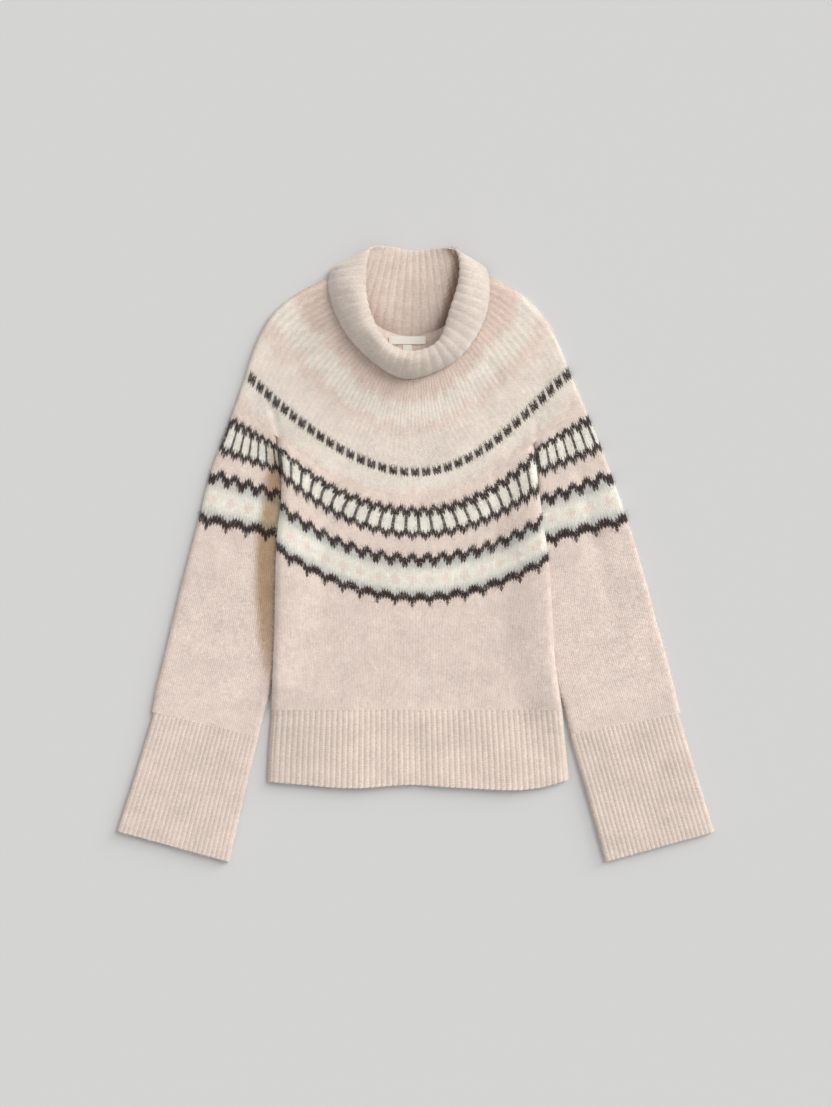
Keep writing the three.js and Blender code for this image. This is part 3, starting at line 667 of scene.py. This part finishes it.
def knit_material(name, knit_height, fibre_height, furrow, cloudy, sheen):
    """Brushed wool in the colours of the yarn attribute, with stitches and fibres as low relief. The colour
    is darkened to the share furrow in the hollows between stitches, as painted shade.
    """
    material, tree, shader = new_material(name)
    shader.inputs["Sheen Weight"].default_value = sheen
    shader.inputs["Sheen Roughness"].default_value = 0.6
    shader.inputs["Specular IOR Level"].default_value = 0.1
    wool = node(tree, "ShaderNodeGroup", node_tree=wool_group)
    knit = node(tree, "ShaderNodeGroup", node_tree=knit_group)
    stitches = node(tree, "ShaderNodeUVMap", uv_map="stitches")
    tree.links.new(stitches.outputs["UV"], knit.inputs["Stitches"])
    marl = map_range(tree, wool.outputs["Marl"], 0.35, 0.65, 1 - cloudy, 1 + cloudy)
    # Painted shade: the yarn colour is darker in the hollows between the stitches
    painted_hollow_shade = map_range(tree, knit.outputs["Height"], 0.0, 1.0, furrow, 1.04)
    tint_with_yarn(tree, math_node(tree, "MULTIPLY", marl, painted_hollow_shade))
    rough = map_range(tree, wool.outputs["Fibres"], 0.0, 1.0, 0.85, 1.0)
    tree.links.new(rough, shader.inputs["Roughness"])
    height = math_node(
        tree,
        "ADD",
        math_node(tree, "MULTIPLY", knit.outputs["Height"], knit_height),
        math_node(tree, "MULTIPLY", wool.outputs["Fibres"], fibre_height),
    )
    bump = node(tree, "ShaderNodeBump")
    bump.inputs["Distance"].default_value = 0.0008
    bump.inputs["Strength"].default_value = 0.7
    tree.links.new(height, bump.inputs["Height"])
    tree.links.new(bump.outputs["Normal"], shader.inputs["Normal"])
    return material


def fibre_material():
    """Loose wool fibres in the colours of the yarn that they come from."""
    material, tree, shader = new_material("brushed_fibres")
    shader.inputs["Sheen Weight"].default_value = 0.5
    shader.inputs["Roughness"].default_value = 0.8
    shader.inputs["Specular IOR Level"].default_value = 0.2
    wool = node(tree, "ShaderNodeGroup", node_tree=wool_group)
    marl = map_range(tree, wool.outputs["Marl"], 0.3, 0.7, 0.95, 1.06)
    tint_with_yarn(tree, marl)
    return material


fair_isle = knit_material("fair_isle_knit", 0.5, 0.35, 0.87, 0.12, 0.2)
rib_wool = knit_material("rib_knit_wool", 0.35, 0.6, 0.9, 0.13, 0.3)
collar_wool = knit_material("collar_knit_wool", 0.12, 0.8, 0.97, 0.13, 0.7)
brushed_fibres = fibre_material()


# Yoke
def yoke_row(place):
    keys = np.arange(len(YOKE["left"]))
    return {name: curve_at(place, keys, values) for name, values in YOKE.items()}


def yoke_plan(place, share, upper):
    """Points of a yoke row at shares of its width, in the upper or lower layer."""
    row = yoke_row(place)
    left = row["left"] + WALL / 2
    right = row["right"] - WALL / 2
    centre = np.where(upper, row["front"], row["back"])
    across = 2 * share - 1
    across = across - row["skew"] * (1 - across**2)
    bend = row["curve"] * (1 + row["lean"] * across)
    sag = (row["shoulder"] - centre) * np.maximum(0.0, np.cos(math.pi * across / 2)) ** bend
    return mix(left, right, share), row["shoulder"] - sag, right - left


def ring_shares(stitches, back_steps):
    """Shares of the width round a flattened tube, and whether each is in the upper layer."""
    front = np.linspace(0.0, 1.0, 2 * stitches + 1)
    back = np.concatenate([[0.997, 0.99], np.linspace(0.975, 0.025, back_steps), [0.01, 0.003]])
    shares = np.concatenate([front, back])
    upper = np.concatenate([np.ones(len(front), bool), np.zeros(len(back), bool)])
    return shares, upper


def ring_height(edge_distance, upper, height):
    """Middle of the cloth above the surface, rounded towards the folded edges of a flat tube."""
    rise = (height - WALL) / 2
    wide = np.where(upper, EDGE_ROUNDING, 3.0)
    bend = np.sqrt(np.maximum(0.0, 1 - (1 - np.minimum(1.0, edge_distance / wide)) ** 2))
    return height / 2 + np.where(upper, 1, -1) * rise * bend


def seam_fade(rows):
    """Share of the stitches' V on each row, none at the seams."""
    row = np.arange(rows)
    return smoothstep(0, 4, row) * smoothstep(0, 4, rows - 1 - row)


def chevron(points, wales):
    """Shift the middle of each stitch down, so that it forms a V. Wales are 1 at their middle."""
    down = np.gradient(points, axis=0)
    return points + STITCH_RISE * down * (wales * seam_fade(points.shape[0])[:, None])[:, :, None]


def tube_faces(x, y, z, wales):
    """Outer and inner face of a knitted tube, from the middle of its cloth."""
    middle = chevron(np.stack([x, y, z], -1), wales)
    normals = surface_normals(middle, True)
    outer = middle + normals * (WALL / 2 + WALE_RELIEF * wales)[:, :, None]
    return outer, middle - normals * WALL / 2


def ring_stitch_map(stitches, columns):
    u = np.arange(columns) / 2.0
    back = np.arange(columns - 2 * stitches) * 2.0
    u[2 * stitches :] = stitches + back
    return u


def make_yoke():
    shares, upper = ring_shares(YOKE_STITCHES, 56)
    rows = np.arange(YOKE_ROWS + 1)
    place = rows[:, None] * (len(YOKE["left"]) - 1) / YOKE_ROWS
    turn = 2 * math.pi * shares[None, :]
    spaced = shares[None, :] - yoke_row(place)["spread"] * np.sin(turn) / (2 * math.pi)
    x, y, width = yoke_plan(place, spaced, upper[None, :])
    edge = np.minimum(spaced, 1 - spaced) * width
    z = ring_height(edge, upper[None, :], BODY_HEIGHT)
    z = z + np.where(upper[None, :], smoothstep(2, 12, edge) * fold_height(CREASES, x, y), 0.0)
    paired = 1 - smoothstep(*PAIRED_ROWS, rows)[:, None]
    column = np.arange(len(shares)) % 4
    single = np.array([0.0, 1.0, 0.0, 1.0])[column]
    double = np.array([0.0, 0.6, 1.2, 0.6])[column]
    wales = upper * mix(single, double, paired)
    faces = tube_faces(x, y, z, wales)
    stitch_colours = np.zeros((YOKE_ROWS, YOKE_STITCHES, 3))
    streak = np.repeat(random.normal(0, 1.5, YOKE_STITCHES // 2), 2)
    for row in range(YOKE_ROWS):
        for stitch in range(YOKE_STITCHES):
            side = abs(2 * (stitch + 0.5) / YOKE_STITCHES - 1)
            stitch_colours[row, stitch] = yoke_yarn(row, stitch, side, streak[stitch])
    stitch_colours = brushed(stitch_colours)
    # Painted shade: the columns between the double wales near the neck are darker, and the raised wales
    # lighter
    furrows = mix(1.0, np.tile([0.93, 1.03, 1.03, 0.93], YOKE_STITCHES // 2), paired[:-1])
    front = np.repeat(stitch_colours, 2, axis=1) * furrows[:, :, None]
    colours = round_colours(front, stitch_colours, len(shares))
    u = ring_stitch_map(YOKE_STITCHES, len(shares))
    v = np.arange(YOKE_ROWS + 1.0)
    return brushed_cloth("yoke", faces, True, fair_isle, colours, (u, v), 56000, CLOTH_FIBRES)


def yoke_seam_y(x):
    """Height in the picture of the front lower seam of the yoke."""
    left = YOKE["left"][-1] + WALL / 2
    right = YOKE["right"][-1] - WALL / 2
    share = np.clip((x - left) / (right - left), 0.0, 1.0)
    return yoke_plan(float(len(YOKE["left"]) - 1), share, True)[1]


# Body and hem
def side_lift(side, y, inside):
    """Rise of the body where its side edge lies over a sleeve."""
    lift = straight_at(y, side["y"], side["lift"])
    tuck = np.maximum(0.0, straight_at(y, side["y"], side["tuck"]))
    return lift * (1 - smoothstep(tuck + 2, tuck + LIFT_SLOPE, inside))


def layer_heights(x, y, left, right, folds):
    """Lower and upper faces of the back and the front panel at each point."""
    inside = np.minimum(x - left, right - x)
    lift = side_lift(LEFT_SIDE, y, x - left) + side_lift(RIGHT_SIDE, y, right - x)
    rounding = 1 - smoothstep(0, 3.5, inside)
    back_lower = lift + 1.4 * rounding
    back_upper = lift + WALL
    swell = smoothstep(8, 24, inside) * fold_height(folds, x, y) + fold_height(CREASES, x, y)
    front_lower = lift + WALL + SEAM_STEP + (HOLLOW - SEAM_STEP) * smoothstep(0, 9, inside) + swell
    front_upper = front_lower + WALL - 2.4 * (1 - smoothstep(0, 4.5, inside))
    return back_lower, back_upper, front_lower, front_upper


def wall_faces(x, y, outer_height, inner_height):
    """Both faces of a flat wall of cloth that has the same plan points on each."""
    return np.stack([x, y, outer_height], -1), np.stack([x, y, inner_height], -1)


def body_plan(shares, rows):
    """Plan points of the body from the yoke seam to the hem seam, on its rows of stitches."""
    rows = np.asarray(rows, float)[:, None]
    middle_y, left_y, right_y, spread = (
        curve_at(rows, BODY["row"], BODY[name]) for name in ("middle", "left", "right", "spread")
    )
    left = curve_at(left_y, LEFT_SIDE["y"], LEFT_SIDE["edge"])
    right = curve_at(right_y, RIGHT_SIDE["y"], RIGHT_SIDE["edge"])
    share = shares[None, :] - spread * np.sin(2 * math.pi * shares[None, :]) / (2 * math.pi)
    x = mix(left, right, share) + (BODY_CENTRE_X - (left + right) / 2) * 4 * share * (1 - share)
    from_lowest = x - BODY_LOWEST_X
    on_left = from_lowest < 0
    half = np.where(on_left, left - BODY_LOWEST_X, right - BODY_LOWEST_X)
    end_y = np.where(on_left, left_y, right_y)
    y = middle_y + (end_y - middle_y) * (from_lowest / half) ** 2
    at_seam = 1 - smoothstep(0, 3, rows)
    y = mix(y, yoke_seam_y(x) + (middle_y - BODY["middle"][0]) * 0.5, at_seam)
    left_edge = curve_at(y, LEFT_SIDE["y"], LEFT_SIDE["edge"])
    right_edge = curve_at(y, RIGHT_SIDE["y"], RIGHT_SIDE["edge"])
    return x, y, np.minimum(left_edge, x), np.maximum(right_edge, x)


def panel_chevron(x, y):
    """Shift of the middle of each stitch along its wale, none at the first and last row."""
    down_x = np.gradient(x, axis=0)
    down_y = np.gradient(y, axis=0)
    middle = (np.arange(x.shape[1]) % 2 == 1).astype(float)[None, :]
    amount = STITCH_RISE * middle * seam_fade(x.shape[0])[:, None]
    return x + amount * down_x, y + amount * down_y


def make_body_front():
    rows = np.arange(BODY["row"][-1] + 1)
    shares = np.linspace(0, 1, 2 * BODY_STITCHES + 1)
    x, y, left, right = body_plan(shares, rows)
    x, y = panel_chevron(x, y)
    _, _, lower, upper = layer_heights(x, y, left, right, BODY_FOLDS)
    upper = upper + WALE_RELIEF * (np.arange(len(shares)) % 2)[None, :]
    stitches = range(-CENTRE_STITCH, BODY_STITCHES - CENTRE_STITCH)
    colours = np.repeat(brushed(chart_colours(rows[:-1], stitches)), 2, axis=1)
    faces = wall_faces(x, y, upper, lower)
    stitch_map = (np.arange(len(shares)) / 2.0, rows.astype(float))
    return brushed_cloth("body_front", faces, False, fair_isle, colours, stitch_map, 60000, CLOTH_FIBRES)


def make_body_back():
    rows = np.arange(0, BODY["row"][-1] + 1, 3)
    shares = BACK_SHARES
    x, y, left, right = body_plan(shares, rows)
    lower, upper, _, _ = layer_heights(x, y, left, right, [])
    stitches = (shares[:-1] * BODY_STITCHES).astype(int) - CENTRE_STITCH
    colours = chart_colours(rows[:-1], stitches)
    outer, inner = wall_faces(x, y, upper, lower)
    u = shares * BODY_STITCHES
    return cloth_object("body_back_cloth", outer, inner, False, fair_isle, colours, u, rows.astype(float), 1)


def rib_colours(yarn, phase, rows):
    """Yarn on a rib piece, with painted shade making it a little darker in the furrows between the ribs."""
    furrow_shade = mix(0.93, 1.02, rib_profile((phase + FURROW_SHIFT) % 1.0))
    tone = random.normal(1.0, 0.045, (rows, len(phase)))
    return np.clip(np.array(yarn) * (furrow_shade[None, :] * tone)[:, :, None], 0.0, 1.0)


def rib_profile(phase):
    """Height of a rib over its width: rounded on top, with a narrow furrow on each side."""
    return (0.5 - 0.5 * np.cos(2 * math.pi * phase)) ** 0.6


def hem_plan(shares, steps):
    down = np.linspace(0, 1, steps)[:, None]
    guess_y = mix(HEM_SEAM_Y, HEM_LEVEL_Y, down) + 0 * shares[None, :]
    left = curve_at(guess_y, LEFT_SIDE["y"], LEFT_SIDE["edge"])
    right = curve_at(guess_y, RIGHT_SIDE["y"], RIGHT_SIDE["edge"])
    x = mix(left, right, shares[None, :])
    y = mix(HEM_SEAM_Y, curve_at(x, HEM_X, HEM_Y), down)
    return x, y, left, right


def make_hem_front():
    per_rib = 6
    rows = 34
    shares = np.linspace(0, 1, per_rib * HEM_RIBS + 1)
    x, y, left, right = hem_plan(shares, 2 * rows + 1)
    _, _, lower, upper = layer_heights(x, y, left, right, BODY_FOLDS)
    phase = (shares * HEM_RIBS) % 1.0
    rib = rib_profile(phase)[None, :]
    inside = np.minimum(x - left, right - x)
    bead = 0.22 * np.cos(math.pi * np.arange(2 * rows + 1))[:, None] * rib
    upper = upper + (RIB_RELIEF * rib - 0.3 + bead) * smoothstep(0, 3, inside)
    y = y - 1.1 * rib * smoothstep(0, 0.05, np.linspace(0, 1, 2 * rows + 1))[:, None]
    u = shares * HEM_RIBS + 0.5
    v = np.arange(2 * rows + 1) / 2.0
    colours = rib_colours(HEM_YARN, (shares * HEM_RIBS) % 1.0, 2 * rows)[:, : len(shares) - 1]
    # Painted shade: the hem is darker towards its left end, where it lies in shade
    hem_painted_shade = mix(0.88, 1.0, smoothstep(-180, -80, x[:-1, :-1]))
    colours = colours * hem_painted_shade[:, :, None]
    faces = wall_faces(x, y, upper, lower)
    return brushed_cloth("hem_rib_front", faces, False, rib_wool, colours, (u, v), 18000, RIB_FIBRES)


def make_hem_back():
    rows = 12
    shares = BACK_SHARES
    x, y, left, right = hem_plan(shares, rows + 1)
    lower, upper, _, _ = layer_heights(x, y, left, right, [])
    outer, inner = wall_faces(x, y, upper, lower)
    colours = rib_colours(HEM_YARN, (shares * HEM_RIBS) % 1.0, rows)[:, : len(shares) - 1]
    u = shares * HEM_RIBS
    v = np.arange(rows + 1) * 3.0
    return cloth_object("hem_rib_back_cloth", outer, inner, False, rib_wool, colours, u, v, 1)


# Sleeves
def sleeve_plan(table, outline, side_table, side, rows, shares):
    rows = np.asarray(rows, float)[:, None]
    outer_y = curve_at(rows, table["row"], table["outer"])
    inner_y = curve_at(rows, table["row"], table["inner"])
    outer_x = curve_at(outer_y, outline["y"], outline["x"]) - side * WALL / 2
    edge = curve_at(inner_y, side_table["y"], side_table["edge"])
    tuck = curve_at(inner_y, side_table["y"], side_table["tuck"])
    inner_x = edge - side * (tuck - WALL / 2)
    if side < 0:
        left_x, left_y, right_x, right_y = outer_x, outer_y, inner_x, inner_y
    else:
        left_x, left_y, right_x, right_y = inner_x, inner_y, outer_x, outer_y
    x = mix(left_x, right_x, shares[None, :])
    y = mix(left_y, right_y, shares[None, :])
    at_seam = 1 - smoothstep(0, 3, rows)
    y = mix(y, yoke_seam_y(x) - 2.0 * rows, at_seam)
    return x, y, np.hypot(right_x - left_x, right_y - left_y)


def make_sleeve(name, table, outline, side_table, side, folds, first_stitch):
    rows = np.arange(table["row"][-1] + 1)
    shares, upper = ring_shares(SLEEVE_STITCHES, 22)
    x, y, width = sleeve_plan(table, outline, side_table, side, rows, shares)
    edge = np.minimum(shares, 1 - shares)[None, :] * width
    height = mix(BODY_HEIGHT, SLEEVE_HEIGHT, smoothstep(0, 14, rows))[:, None]
    z = ring_height(edge, upper[None, :], height)
    z = z + np.where(upper[None, :], smoothstep(2, 12, edge) * fold_height(folds, x, y), 0.0)
    z = z + np.where(upper[None, :], fold_height(CREASES, x, y), 0.0)
    wales = (upper & (np.arange(len(shares)) % 2 == 1)).astype(float)[None, :]
    faces = tube_faces(x, y, z, wales)
    stitches = range(first_stitch, first_stitch + SLEEVE_STITCHES)
    stitch_colours = brushed(chart_colours(rows[:-1], stitches))
    colours = round_colours(np.repeat(stitch_colours, 2, axis=1), stitch_colours, len(shares))
    # Painted shade: the left sleeve's yarn is darkened beside the body's edge, where the raised body shades
    # it
    if side < 0:
        x_face = faces[0][:-1, :, 0]
        y_face = faces[0][:-1, :, 1]
        inside = curve_at(y_face, side_table["y"], side_table["edge"]) - x_face
        width = straight_at(y_face, FOLD_SHADE["y"], FOLD_SHADE["width"])
        strength = straight_at(y_face, FOLD_SHADE["y"], FOLD_SHADE["strength"])
        strength = strength * (1 - smoothstep(width - 6, width + 8, inside))
        colours = colours * mix(1.0, np.array(PAINTED_FOLD_SHADE_COLOUR), strength[:, :, None])
    u = ring_stitch_map(SLEEVE_STITCHES, len(shares))
    stitch_map = (u, rows.astype(float))
    return brushed_cloth(name, faces, True, fair_isle, colours, stitch_map, 24000, CLOTH_FIBRES)


# Cuffs
def make_cuff(name, corners):
    per_rib = 5
    rows = 54
    front = np.linspace(0.0, 1.0, per_rib * CUFF_RIBS + 1)
    back = np.concatenate([[0.997, 0.985], np.linspace(0.96, 0.04, 30), [0.015, 0.003]])
    shares = np.concatenate([front, back])
    upper = np.concatenate([np.ones(len(front), bool), np.zeros(len(back), bool)])
    down = np.linspace(0, 1, 2 * rows + 1)[:, None]
    draw = WALL / 2 + 0.6 * np.sin(math.pi * down)
    (top_left, top_right), (bottom_left, bottom_right) = corners["top"], corners["bottom"]
    left_x = mix(top_left[0], bottom_left[0], down) + draw
    left_y = mix(top_left[1], bottom_left[1], down)
    right_x = mix(top_right[0], bottom_right[0], down) - draw
    right_y = mix(top_right[1], bottom_right[1], down)
    x = mix(left_x, right_x, shares[None, :])
    y = mix(left_y, right_y, shares[None, :])
    width = np.hypot(right_x - left_x, right_y - left_y)
    edge = np.minimum(shares, 1 - shares)[None, :] * width
    z = ring_height(edge, upper[None, :], CUFF_HEIGHT)
    middle = np.stack([x, y, z], -1)
    normals = surface_normals(middle, True)
    rib = np.where(upper, rib_profile((shares * CUFF_RIBS) % 1.0), 0.0)[None, :]
    bead = 0.22 * np.cos(math.pi * np.arange(2 * rows + 1))[:, None] * rib
    relief = (RIB_RELIEF * rib + bead) * smoothstep(0, 3, edge)
    outer = middle + normals * (WALL / 2 + relief)[:, :, None]
    inner = middle - normals * WALL / 2
    u = shares * CUFF_RIBS + 0.5
    u[~upper] = CUFF_RIBS + np.arange((~upper).sum()) * 1.0 + 1.0
    v = np.arange(2 * rows + 1) / 2.0
    colours = rib_colours(CUFF_YARN, np.where(upper, (shares * CUFF_RIBS) % 1.0, 0.4), 2 * rows)
    return brushed_cloth(name, (outer, inner), True, rib_wool, colours, (u, v), 14000, RIB_FIBRES)


# Collar
def around(column, turn):
    """Smooth closed curve through a column of the collar table."""
    values = np.array(COLLAR[column], float)
    count = len(values)
    index = np.floor(turn).astype(int)
    t = turn - index
    a, b, c, d = (values[(index + k) % count] for k in (-1, 0, 1, 2))
    return 0.5 * (2 * b + (c - a) * t + (2 * a - 5 * b + 4 * c - d) * t**2 + (3 * b - a - 3 * c + d) * t**3)


def neck_seam(turn):
    """Points in the middle of the cloth, just inside the neck seam of the yoke."""
    angle = turn * math.pi / (len(COLLAR["stand"]) / 2)
    upper = np.cos(angle) >= 0
    across = -np.sin(angle)
    share = (1 + across) / 2
    x, y, width = yoke_plan(0.0, share, upper)
    next_x, next_y, _ = yoke_plan(1.0, share, upper)
    length = np.hypot(x - next_x, y - next_y)
    step = 0.4
    radius = (BODY_HEIGHT - WALL) / 2
    edge = (1 - np.abs(across)) * width / 2
    bend = np.sqrt(np.maximum(0.0, 1 - (1 - np.minimum(1.0, edge / radius)) ** 2))
    z = BODY_HEIGHT / 2 + np.where(upper, 1, -1) * radius * bend
    return np.stack([x + step * (x - next_x) / length, y + step * (y - next_y) / length, z], -1)


def spline(controls, places):
    """Smooth curve through control points, one curve for each column of the collar."""
    points = np.concatenate([2 * controls[:1] - controls[1:2], controls, 2 * controls[-1:] - controls[-2:-1]])
    made = []
    for place in places:
        index = min(int(place), len(controls) - 2)
        t = place - index
        p0, p1, p2, p3 = points[index : index + 4]
        steps = [np.linalg.norm(b - a, axis=1, keepdims=True) for a, b in ((p0, p1), (p1, p2), (p2, p3))]
        d0, d1, d2 = (np.maximum(step, 1e-6) ** 0.5 for step in steps)
        start = ((p1 - p0) / d0 - (p2 - p0) / (d0 + d1) + (p2 - p1) / d1) * d1
        end = ((p2 - p1) / d1 - (p3 - p1) / (d1 + d2) + (p3 - p2) / d2) * d1
        made.append(blend_curve(p1, start, p2, end, t))
    return np.array(made)


def make_collar():
    per_rib = 9
    columns = per_rib * COLLAR_RIBS
    turn = np.arange(columns) * len(COLLAR["stand"]) / columns
    stand = np.clip(around("stand", turn), 0, 1)
    seam = neck_seam(turn)

    def at(x, y, z):
        return np.stack([x, y, z + 0 * x], -1)

    fold_z = mix((LYING_INNER + LYING_OUTER) / 2, ROLL_HEIGHT, stand)
    fold = at(around("fold_x", turn), around("fold_y", turn), fold_z)
    edge_z = mix(LYING_OUTER, ROLL_EDGE_HEIGHT, stand)
    edge = at(around("edge_x", turn), around("edge_y", turn), edge_z)

    def between(a, b, share, z):
        return at(mix(a[:, 0], b[:, 0], share), mix(a[:, 1], b[:, 1], share), z)

    controls = np.array([
        seam,
        between(seam, fold, mix(0.16, 0.55, stand), mix(LYING_INNER, 0.45 * ROLL_HEIGHT, stand)),
        between(seam, fold, mix(0.95, 0.97, stand), mix(LYING_INNER, 0.82 * ROLL_HEIGHT, stand)),
        fold,
        between(fold, edge, mix(0.06, 0.3, stand), mix(LYING_OUTER, 1.12 * ROLL_HEIGHT, stand)),
        between(fold, edge, mix(0.5, 0.8, stand), mix(LYING_OUTER, 0.85 * ROLL_HEIGHT, stand)),
        edge,
    ])
    places = np.concatenate([np.linspace(0, 2, 26)[:-1], np.linspace(2, 4, 26)[:-1], np.linspace(4, 6, 26)])
    middle = spline(controls, places)
    normals = surface_normals(middle, True)
    rib = rib_profile(np.arange(columns) / per_rib % 1.0)[None, :]
    grow = smoothstep(0, 0.3, places)[:, None]
    outside = smoothstep(2.4, 3.2, places)[:, None]
    resting = mix(1.0, 0.12 * smoothstep(0, 0.4, stand)[None, :], outside)
    bead = 0.15 * np.cos(math.pi * np.arange(len(places)))[:, None] * rib
    relief = (COLLAR_RELIEF * rib + bead) * grow
    outer = middle + normals * (COLLAR_WALL / 2 + relief * resting)[:, :, None]
    inner = middle - normals * (COLLAR_WALL / 2 + relief)[:, :, None]
    u = np.arange(columns) / per_rib + 0.5
    v = np.arange(len(places)) / 2.0
    colours = rib_colours(COLLAR_YARN, np.arange(columns) / per_rib % 1.0, len(places) - 1)
    speckle = random.normal(1.0, 0.03, (len(places) - 1, columns))
    along = places[:-1, None]
    drift = np.sin(5.1 * turn[None, :] + 2 * np.sin(0.7 * along)) * np.cos(2.3 * along)
    clouds = speckle + 0.05 * drift
    colours = mix(colours, ROLL_YARN * clouds[:, :, None], outside[:-1, :, None])
    # Painted shadow: the inner wall under the right fold of the collar is darkened where the fold shades it
    side_x = np.interp(middle[:-1, :, 1], COLLAR_RIGHT_Y, COLLAR_RIGHT_X)
    shade = (1 - smoothstep(3, 17, side_x - middle[:-1, :, 0])) * (1 - outside[:-1])
    colours = colours * mix(1.0, np.array(PAINTED_COLLAR_SHADOW_COLOUR), shade[:, :, None])
    faces = (outer, inner)
    return brushed_cloth("collar", faces, True, collar_wool, colours, (u, v), 60000, COLLAR_FIBRES, 1)


# Label and size tab, left plain
def woven_material():
    material, tree, shader = new_material("woven_tape")
    shader.inputs["Roughness"].default_value = 0.6
    place = node(tree, "ShaderNodeTexCoord")
    threads = node(tree, "ShaderNodeTexWave", bands_direction="X")
    threads.inputs["Scale"].default_value = 900.0
    tree.links.new(place.outputs["Object"], threads.inputs["Vector"])
    ramp = node(tree, "ShaderNodeMix", data_type="RGBA")
    ramp.inputs["A"].default_value = (*linear(240, 237, 228), 1.0)
    ramp.inputs["B"].default_value = (*linear(248, 246, 240), 1.0)
    tree.links.new(threads.outputs["Fac"], ramp.inputs["Factor"])
    tree.links.new(ramp.outputs["Result"], shader.inputs["Base Color"])
    bump = node(tree, "ShaderNodeBump")
    bump.inputs["Distance"].default_value = 0.0001
    tree.links.new(threads.outputs["Fac"], bump.inputs["Height"])
    tree.links.new(bump.outputs["Normal"], shader.inputs["Normal"])
    return material


woven_tape = woven_material()


def make_patch(name, centre, size, sag):
    """Strip of woven tape with soft edges, bent a little along its length."""
    bpy.ops.object.select_all(action="DESELECT")
    bpy.ops.mesh.primitive_cube_add(size=1.0, location=[value * MM for value in centre])
    patch = bpy.context.active_object
    patch.name = name
    patch.scale = [value * MM for value in size]
    bpy.ops.object.transform_apply(location=True, rotation=True, scale=True)
    bpy.ops.object.mode_set(mode="EDIT")
    bpy.ops.mesh.select_all(action="SELECT")
    bpy.ops.mesh.subdivide(number_cuts=7)
    bpy.ops.object.mode_set(mode="OBJECT")
    for vertex in patch.data.vertices:
        across = (vertex.co.x / MM - centre[0]) / size[0]
        vertex.co.z += sag * MM * (1 - 4 * across * across)
    bevel = patch.modifiers.new("soft_edge", "BEVEL")
    bevel.width = 0.15 * MM
    bevel.segments = 2
    bpy.ops.object.modifier_apply(modifier=bevel.name)
    bpy.ops.object.shade_smooth_by_angle(angle=math.radians(40))
    patch.data.materials.append(woven_tape)
    return patch


# Floor and lights
def make_floor():
    bpy.ops.object.select_all(action="DESELECT")
    bpy.ops.mesh.primitive_plane_add(size=12.0, location=(0, 0, 0))
    floor = bpy.context.active_object
    floor.name = "floor"
    material, _, shader = new_material("pale_floor")
    shader.inputs["Base Color"].default_value = (*linear(207, 207, 207), 1.0)
    shader.inputs["Roughness"].default_value = 0.95
    shader.inputs["Specular IOR Level"].default_value = 0.1
    floor.data.materials.append(material)


def sun_light(name, azimuth, elevation, spread, power, colour):
    """Even light from far away. Azimuth turns from the picture's right to its top."""
    data = bpy.data.lights.new(name, "SUN")
    data.energy = power
    data.angle = math.radians(spread)
    data.color = colour
    light = bpy.data.objects.new(name, data)
    light.rotation_euler = (0.0, math.radians(90 - elevation), math.radians(azimuth))
    light.location = (0.0, 0.0, 3.0)
    bpy.context.collection.objects.link(light)


make_floor()
sun_light("key", 37, 48, 28, 1.35, (1.0, 0.99, 0.97))
sun_light("low_key", 36, 20, 24, 1.42, (1.0, 0.99, 0.97))
sun_light("fill", 100, 70, 80, 0.32, (1.0, 1.0, 1.0))
world = bpy.data.worlds.new("soft_room")
world.use_nodes = True
world.node_tree.nodes["Background"].inputs["Color"].default_value = (1.0, 1.0, 1.0, 1.0)
world.node_tree.nodes["Background"].inputs["Strength"].default_value = 0.49
bpy.context.scene.world = world

# Pieces
yoke, yoke_fuzz = make_yoke()
body_front, body_front_fuzz = make_body_front()
body_back = make_body_back()
hem_front, hem_front_fuzz = make_hem_front()
hem_back = make_hem_back()
sleeve_left, sleeve_left_fuzz = make_sleeve(
    "sleeve_left", LEFT_SLEEVE, LEFT_OUTER, LEFT_SIDE, -1, LEFT_SLEEVE_FOLDS, 22
)
sleeve_right, sleeve_right_fuzz = make_sleeve(
    "sleeve_right", RIGHT_SLEEVE, RIGHT_OUTER, RIGHT_SIDE, 1, RIGHT_SLEEVE_FOLDS, 38
)
cuff_left, cuff_left_fuzz = make_cuff("cuff_left", LEFT_CUFF)
cuff_right, cuff_right_fuzz = make_cuff("cuff_right", RIGHT_CUFF)
collar, collar_fuzz = make_collar()
neck_label = make_patch("neck_label_tape", (-11.5, 282.5, 4.6), (49.0, 10.4, 0.7), 0.4)
size_tab = make_patch("size_tab_tape", (-11.5, 270.3, 4.2), (12.0, 13.0, 0.6), 0.2)

for pieces, covers, finish in [
    ((yoke, yoke_fuzz), "yoke", "fair_isle"),
    ((body_front, body_front_fuzz), "body_front", "fair_isle"),
    ((body_back,), "body_back", "fair_isle"),
    ((hem_front, hem_front_fuzz), "hem_rib_front", "rib_knit"),
    ((hem_back,), "hem_rib_back", "rib_knit"),
    ((sleeve_left, sleeve_left_fuzz), "sleeve_left", "fair_isle"),
    ((sleeve_right, sleeve_right_fuzz), "sleeve_right", "fair_isle"),
    ((cuff_left, cuff_left_fuzz), "cuff_left", "cuff_knit"),
    ((cuff_right, cuff_right_fuzz), "cuff_right", "cuff_knit"),
    ((collar, collar_fuzz), "collar", "collar_knit"),
    ((neck_label,), "neck_label", "woven_label"),
    ((size_tab,), "size_tab", "woven_label"),
]:
    for piece in pieces:
        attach(piece, "root")
    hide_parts(covers)
